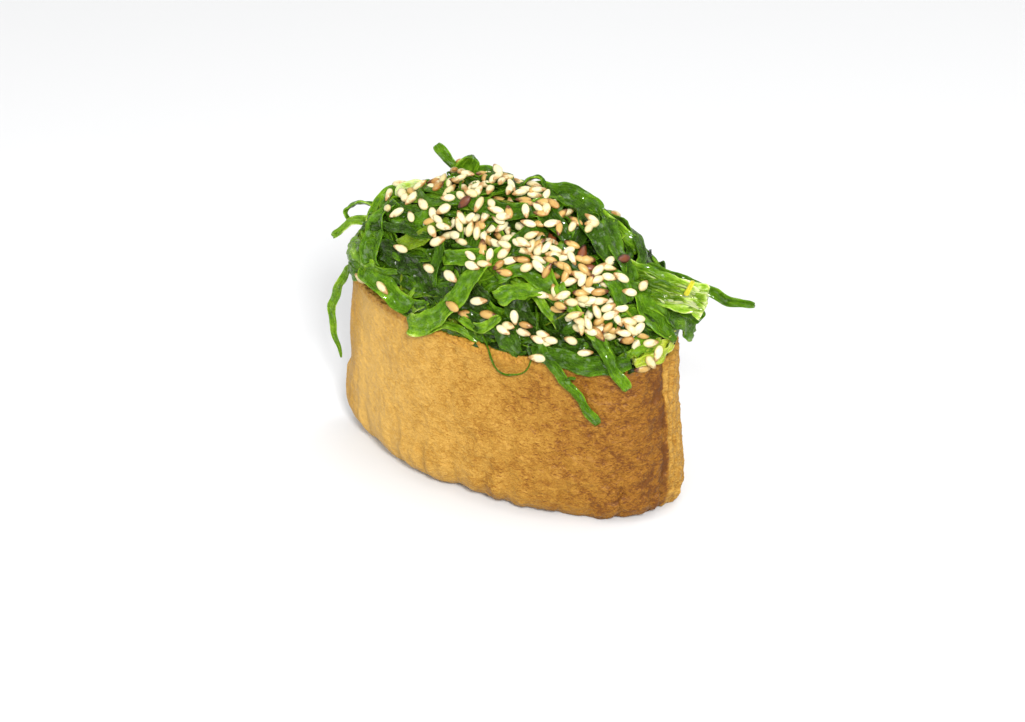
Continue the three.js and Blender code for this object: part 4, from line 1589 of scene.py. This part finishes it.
# Seeds that lie apart or stand out by their colour: place along the mound and turn round it.
SINGLES = (
    (Roast.DARK, ((-6, 80), (10.7, 77), (16.8, 76), (18.9, 71), (-19.2, 97), (22.8, 85))),
    (Roast.CREAM, ((-24.7, 95), (-22.6, 96), (-21.0, 88))),
    (Roast.TOASTED, ((-4.6, 33), (-2.4, 29))),
    (Roast.CREAM, ((30.8, 22),)),
    (Roast.TOASTED, ((32.2, 24), (30.2, 10))),
    (Roast.CREAM, ((-25.4, 39), (-19.4, 34.5), (-16.6, 61), (-10, 53), (-5.8, 50), (0.2, 40))),
    (Roast.TOASTED, ((2.2, 32),)),
    (Roast.CREAM, ((9.3, 26), (12, 23), (12.3, 9), (20.5, 20), (26.9, 79), (-18, 83))),
    (Roast.CREAM, ((-22.5, 81), (-20, 77), (-16, 74), (-14.5, 79))),
    (Roast.TOASTED, ((-12, 72.5),)),
    (Roast.CREAM, ((-10, 77), (-9, 65), (2.5, 89))),
)


@dataclass(frozen=True)
class Seat:
    """Where a seed lies, the ways that its point and flat side look, its roast and its size."""

    middle: Array
    ahead: Array
    flat: Array
    roast: Roast
    size: float


@dataclass
class Sesame:
    """The seeds, each lying on what is under it."""

    mound: Mound
    length: float = 3.3
    width: float = 2.0
    thickness: float = 1.1
    spacing: float = 1.8
    crowded: float = 0.62  # the share of the spacing that a quarter of the seeds keep
    single_size: float = 1.1
    cream: float = 0.72  # the share of the sprinkled seeds that are cream
    not_dark: float = 0.985
    drop: float = 7.0  # how high over the mound they start to fall
    scatter: float = 1.6
    tilt: float = 0.6  # how much the face under a seed turns it from the mound's own slope
    rise: float = 0.33  # how high its middle lies, as a share of its thickness
    pile: float = 0.6  # how much higher it lies on another seed
    pile_within: float = 2.1
    tries: int = 14  # for each seed of a patch
    seed: int = 31

    def template(self) -> tuple[Array, Faces]:
        """One seed, flattened and drawn out to its point.

        Returns:
            Its points, along X with the point at +X, and its faces.
        """
        deselect()
        bpy.ops.mesh.primitive_uv_sphere_add(
            segments=14, ring_count=9, radius=0.5, rotation=(0, math.pi / 2, 0)
        )
        seed = bpy.context.object
        bpy.ops.object.transform_apply(rotation=True)
        bpy.ops.object.mode_set(mode="EDIT")
        bpy.ops.mesh.select_all(action="SELECT")
        bpy.ops.transform.resize(value=(self.length, self.width, self.thickness))
        bpy.ops.object.mode_set(mode="OBJECT")
        points, faces = take_mesh(seed)
        share = points[:, 0] / self.length + 0.5
        points[:, 1] *= 1.07 - 0.36 * ease(0.3, 1.0, share)
        points[:, 2] *= 1.05 - 0.3 * ease(0.4, 1.0, share)
        return points, faces

    def seats(self, salad: Sequence[bpy.types.Object]) -> list[Seat]:
        """Where the seeds lie.

        Args:
            salad: the pieces that they fall on.

        Returns:
            The place of each seed.
        """
        corners: list[Array] = []
        faces: Faces = []
        for piece in salad:
            first = sum(len(c) for c in corners)
            corners.append(points_of(piece))
            faces.extend(tuple(first + i for i in face.vertices) for face in piece.data.polygons)
        surface = BVHTree.FromPolygons(np.concatenate(corners).tolist(), faces)
        dice = Dice(self.seed)
        seats: list[Seat] = []
        for roast, places in SINGLES:
            for place in places:
                self.seat(surface, place, roast, dice, seats, self.single_size)
        for along, turn, spread_along, spread_round, count in SPRINKLES:
            wanted = len(seats) + count
            for _ in range(self.tries * count):
                at = along + self.scatter * spread_along * dice.bell()
                place = (at, turn + self.scatter * spread_round * dice.bell())
                self.seat(surface, place, self.roast(dice), dice, seats)
                if len(seats) == wanted:
                    break
        return seats

    def seat(
        self,
        surface: BVHTree,
        place: tuple[float, float],
        roast: Roast,
        dice: Dice,
        seats: list[Seat],
        size: float = 1.0,
    ) -> None:
        """Lets a seed fall, and adds it where there is room for it.

        Args:
            surface: what it falls on.
            place: its place along the mound and its turn round it.
            roast: how far it is roasted.
            dice: the random numbers.
            seats: the seeds that lie there already.
            size: how large it is beside the others.
        """
        target = self.mound.point(*place)
        heading = dice.roll(0, 2 * math.pi)
        lean = np.array([dice.roll(-0.35, 0.35) for _ in range(3)])
        out = self.mound.normal(target)
        hit, normal, _, _ = surface.ray_cast(Vector(target + out * self.drop), Vector(-out))
        if hit is None:
            return
        hit, normal = np.array(hit), np.array(normal)
        nearest = min((float(np.linalg.norm(hit - seat.middle)) for seat in seats), default=9.0)
        if nearest < self.spacing * (1 if dice.roll() < 0.75 else self.crowded):
            return
        flat = unit(out + self.tilt * normal * np.sign(normal @ out) + lean)
        ahead = np.array([math.cos(heading), math.sin(heading), 0])
        ahead = unit(ahead - flat * (ahead @ flat))
        stacked = self.pile * max(0.0, 1 - nearest / self.pile_within)
        middle = hit + flat * (self.rise * self.thickness + stacked)
        seats.append(Seat(middle, ahead, flat, roast, size))

    def roast(self, dice: Dice) -> Roast:
        """Draws how far a seed is roasted."""
        draw = dice.roll()
        if draw < self.cream:
            return Roast.CREAM
        return Roast.TOASTED if draw < self.not_dark else Roast.DARK

    def build(self, salad: Sequence[bpy.types.Object]) -> dict[Roast, bpy.types.Object]:
        """One piece of seeds for each roast.

        Args:
            salad: the pieces that the seeds lie on.

        Returns:
            The pieces, with the point attributes "tone", "tip" and "rim".
        """
        shape, pattern = self.template()
        dice = Dice(self.seed + 1)
        heaps: dict[Roast, list[tuple[Array, float]]] = {roast: [] for roast in Roast}
        for seat in self.seats(salad):
            side = np.cross(seat.flat, seat.ahead)
            growth = [dice.roll(0.78, 0.99), dice.roll(0.6, 0.8), dice.roll(0.8, 1.1)]
            grown = shape * seat.size * growth
            points = seat.middle + grown @ np.stack([seat.ahead, side, seat.flat])
            heaps[seat.roast].append((points, dice.roll()))
        tip = shape[:, 0] / self.length + 0.5
        rim = 1 - np.abs(shape[:, 2]) / np.abs(shape[:, 2]).max()
        pieces = {}
        for roast, heap in heaps.items():
            piece = copies_of(f"sesame_{roast.value}", [points for points, _ in heap], pattern)
            tone = np.repeat([tone for _, tone in heap], len(shape))
            paint(piece, tone=tone, tip=np.tile(tip, len(heap)), rim=np.tile(rim, len(heap)))
            activate(piece)
            bpy.ops.object.shade_smooth()
            pieces[roast] = piece
        return pieces


# --- The studio ---


@dataclass(frozen=True)
class Lamp:
    """A square soft light that looks at the food, with its side and its power in watts."""

    name: str
    place: tuple[float, float, float]
    side: float
    power: float


LAMPS = (
    Lamp("overhead", (230, 220, 900), 640, 3.2),
    Lamp("side", (-330, -400, 520), 110, 0.5),
    Lamp("key", (330, -440, 440), 130, 5.7),
    Lamp("fill", (-60, -760, 420), 620, 2.3),
)


@dataclass(frozen=True)
class Studio:
    """Camera, lights and floor."""

    azimuth: float = 27.0
    elevation: float = 30.0
    distance: float = 480.0
    aim: tuple[float, float, float] = (0.8, 0.0, 21.5)
    focal_pixels: float = 2640.0
    frame_pixels: float = 1025.0
    film: float = 36.0
    daylight: float = 0.79
    floor_side: float = 6000.0

    def camera(self) -> None:
        """Sets up the camera that looks at the front from above."""
        turn, rise = math.radians(self.azimuth), math.radians(self.elevation)
        level = math.cos(rise)
        back = Vector((math.sin(turn) * level, -math.cos(turn) * level, math.sin(rise)))
        lens = bpy.data.cameras.new("camera")
        lens.lens = self.film * self.focal_pixels / self.frame_pixels
        lens.sensor_width = self.film
        lens.sensor_fit = "HORIZONTAL"
        lens.clip_start = 10 * MM
        camera = link("camera", lens)
        camera.location = (Vector(self.aim) + back * self.distance) * MM
        camera.rotation_euler = (-back).to_track_quat("-Z", "Y").to_euler()
        bpy.context.scene.camera = camera

    def hang(self, lamp: Lamp) -> None:
        """Adds a light."""
        light = bpy.data.lights.new(lamp.name, "AREA")
        light.size = lamp.side * MM
        light.energy = lamp.power
        hung = link(lamp.name, light)
        hung.location = Vector(lamp.place) * MM
        look = Vector(self.aim) - Vector(lamp.place)
        hung.rotation_euler = look.to_track_quat("-Z", "Y").to_euler()

    def floor(self) -> bpy.types.Object:
        """The pale table top."""
        deselect()
        bpy.ops.mesh.primitive_plane_add(size=self.floor_side * MM)
        floor = bpy.context.object
        floor.name = "floor"
        floor.data.materials.append(PaleFloor().material())
        return floor

    def build(self) -> bpy.types.Object:
        """Sets up everything.

        Returns:
            The floor.
        """
        self.camera()
        for lamp in LAMPS:
            self.hang(lamp)
        scene = bpy.context.scene
        scene.view_settings.view_transform = "Standard"
        scene.cycles.use_denoising = True
        world = bpy.data.worlds.new("white_room")
        world.use_nodes = True
        sky = world.node_tree.nodes["Background"].inputs
        sky["Color"].default_value = (1, 1, 1, 1)
        sky["Strength"].default_value = self.daylight
        scene.world = world
        return self.floor()


def main() -> None:
    """Builds the food and its studio, and ties every piece to the model."""
    logging.basicConfig(level=logging.INFO, format="%(name)s: %(message)s")
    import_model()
    Studio().build()

    pouch = Pouch()
    finish_piece(pouch.build(), FriedTofu().material(), "tofu_pouch")

    mound = Mound()
    salad = Salad(mound, pouch).build()
    seaweed = Seaweed().material()
    for piece in salad:
        finish_piece(piece, seaweed, "seaweed_salad")

    for roast, piece in Sesame(mound).build(salad).items():
        coat = SesameCoat(piece.name, *COATS[roast]).material()
        finish_piece(piece, coat, "seaweed_salad")


if __name__ == "__main__":
    main()
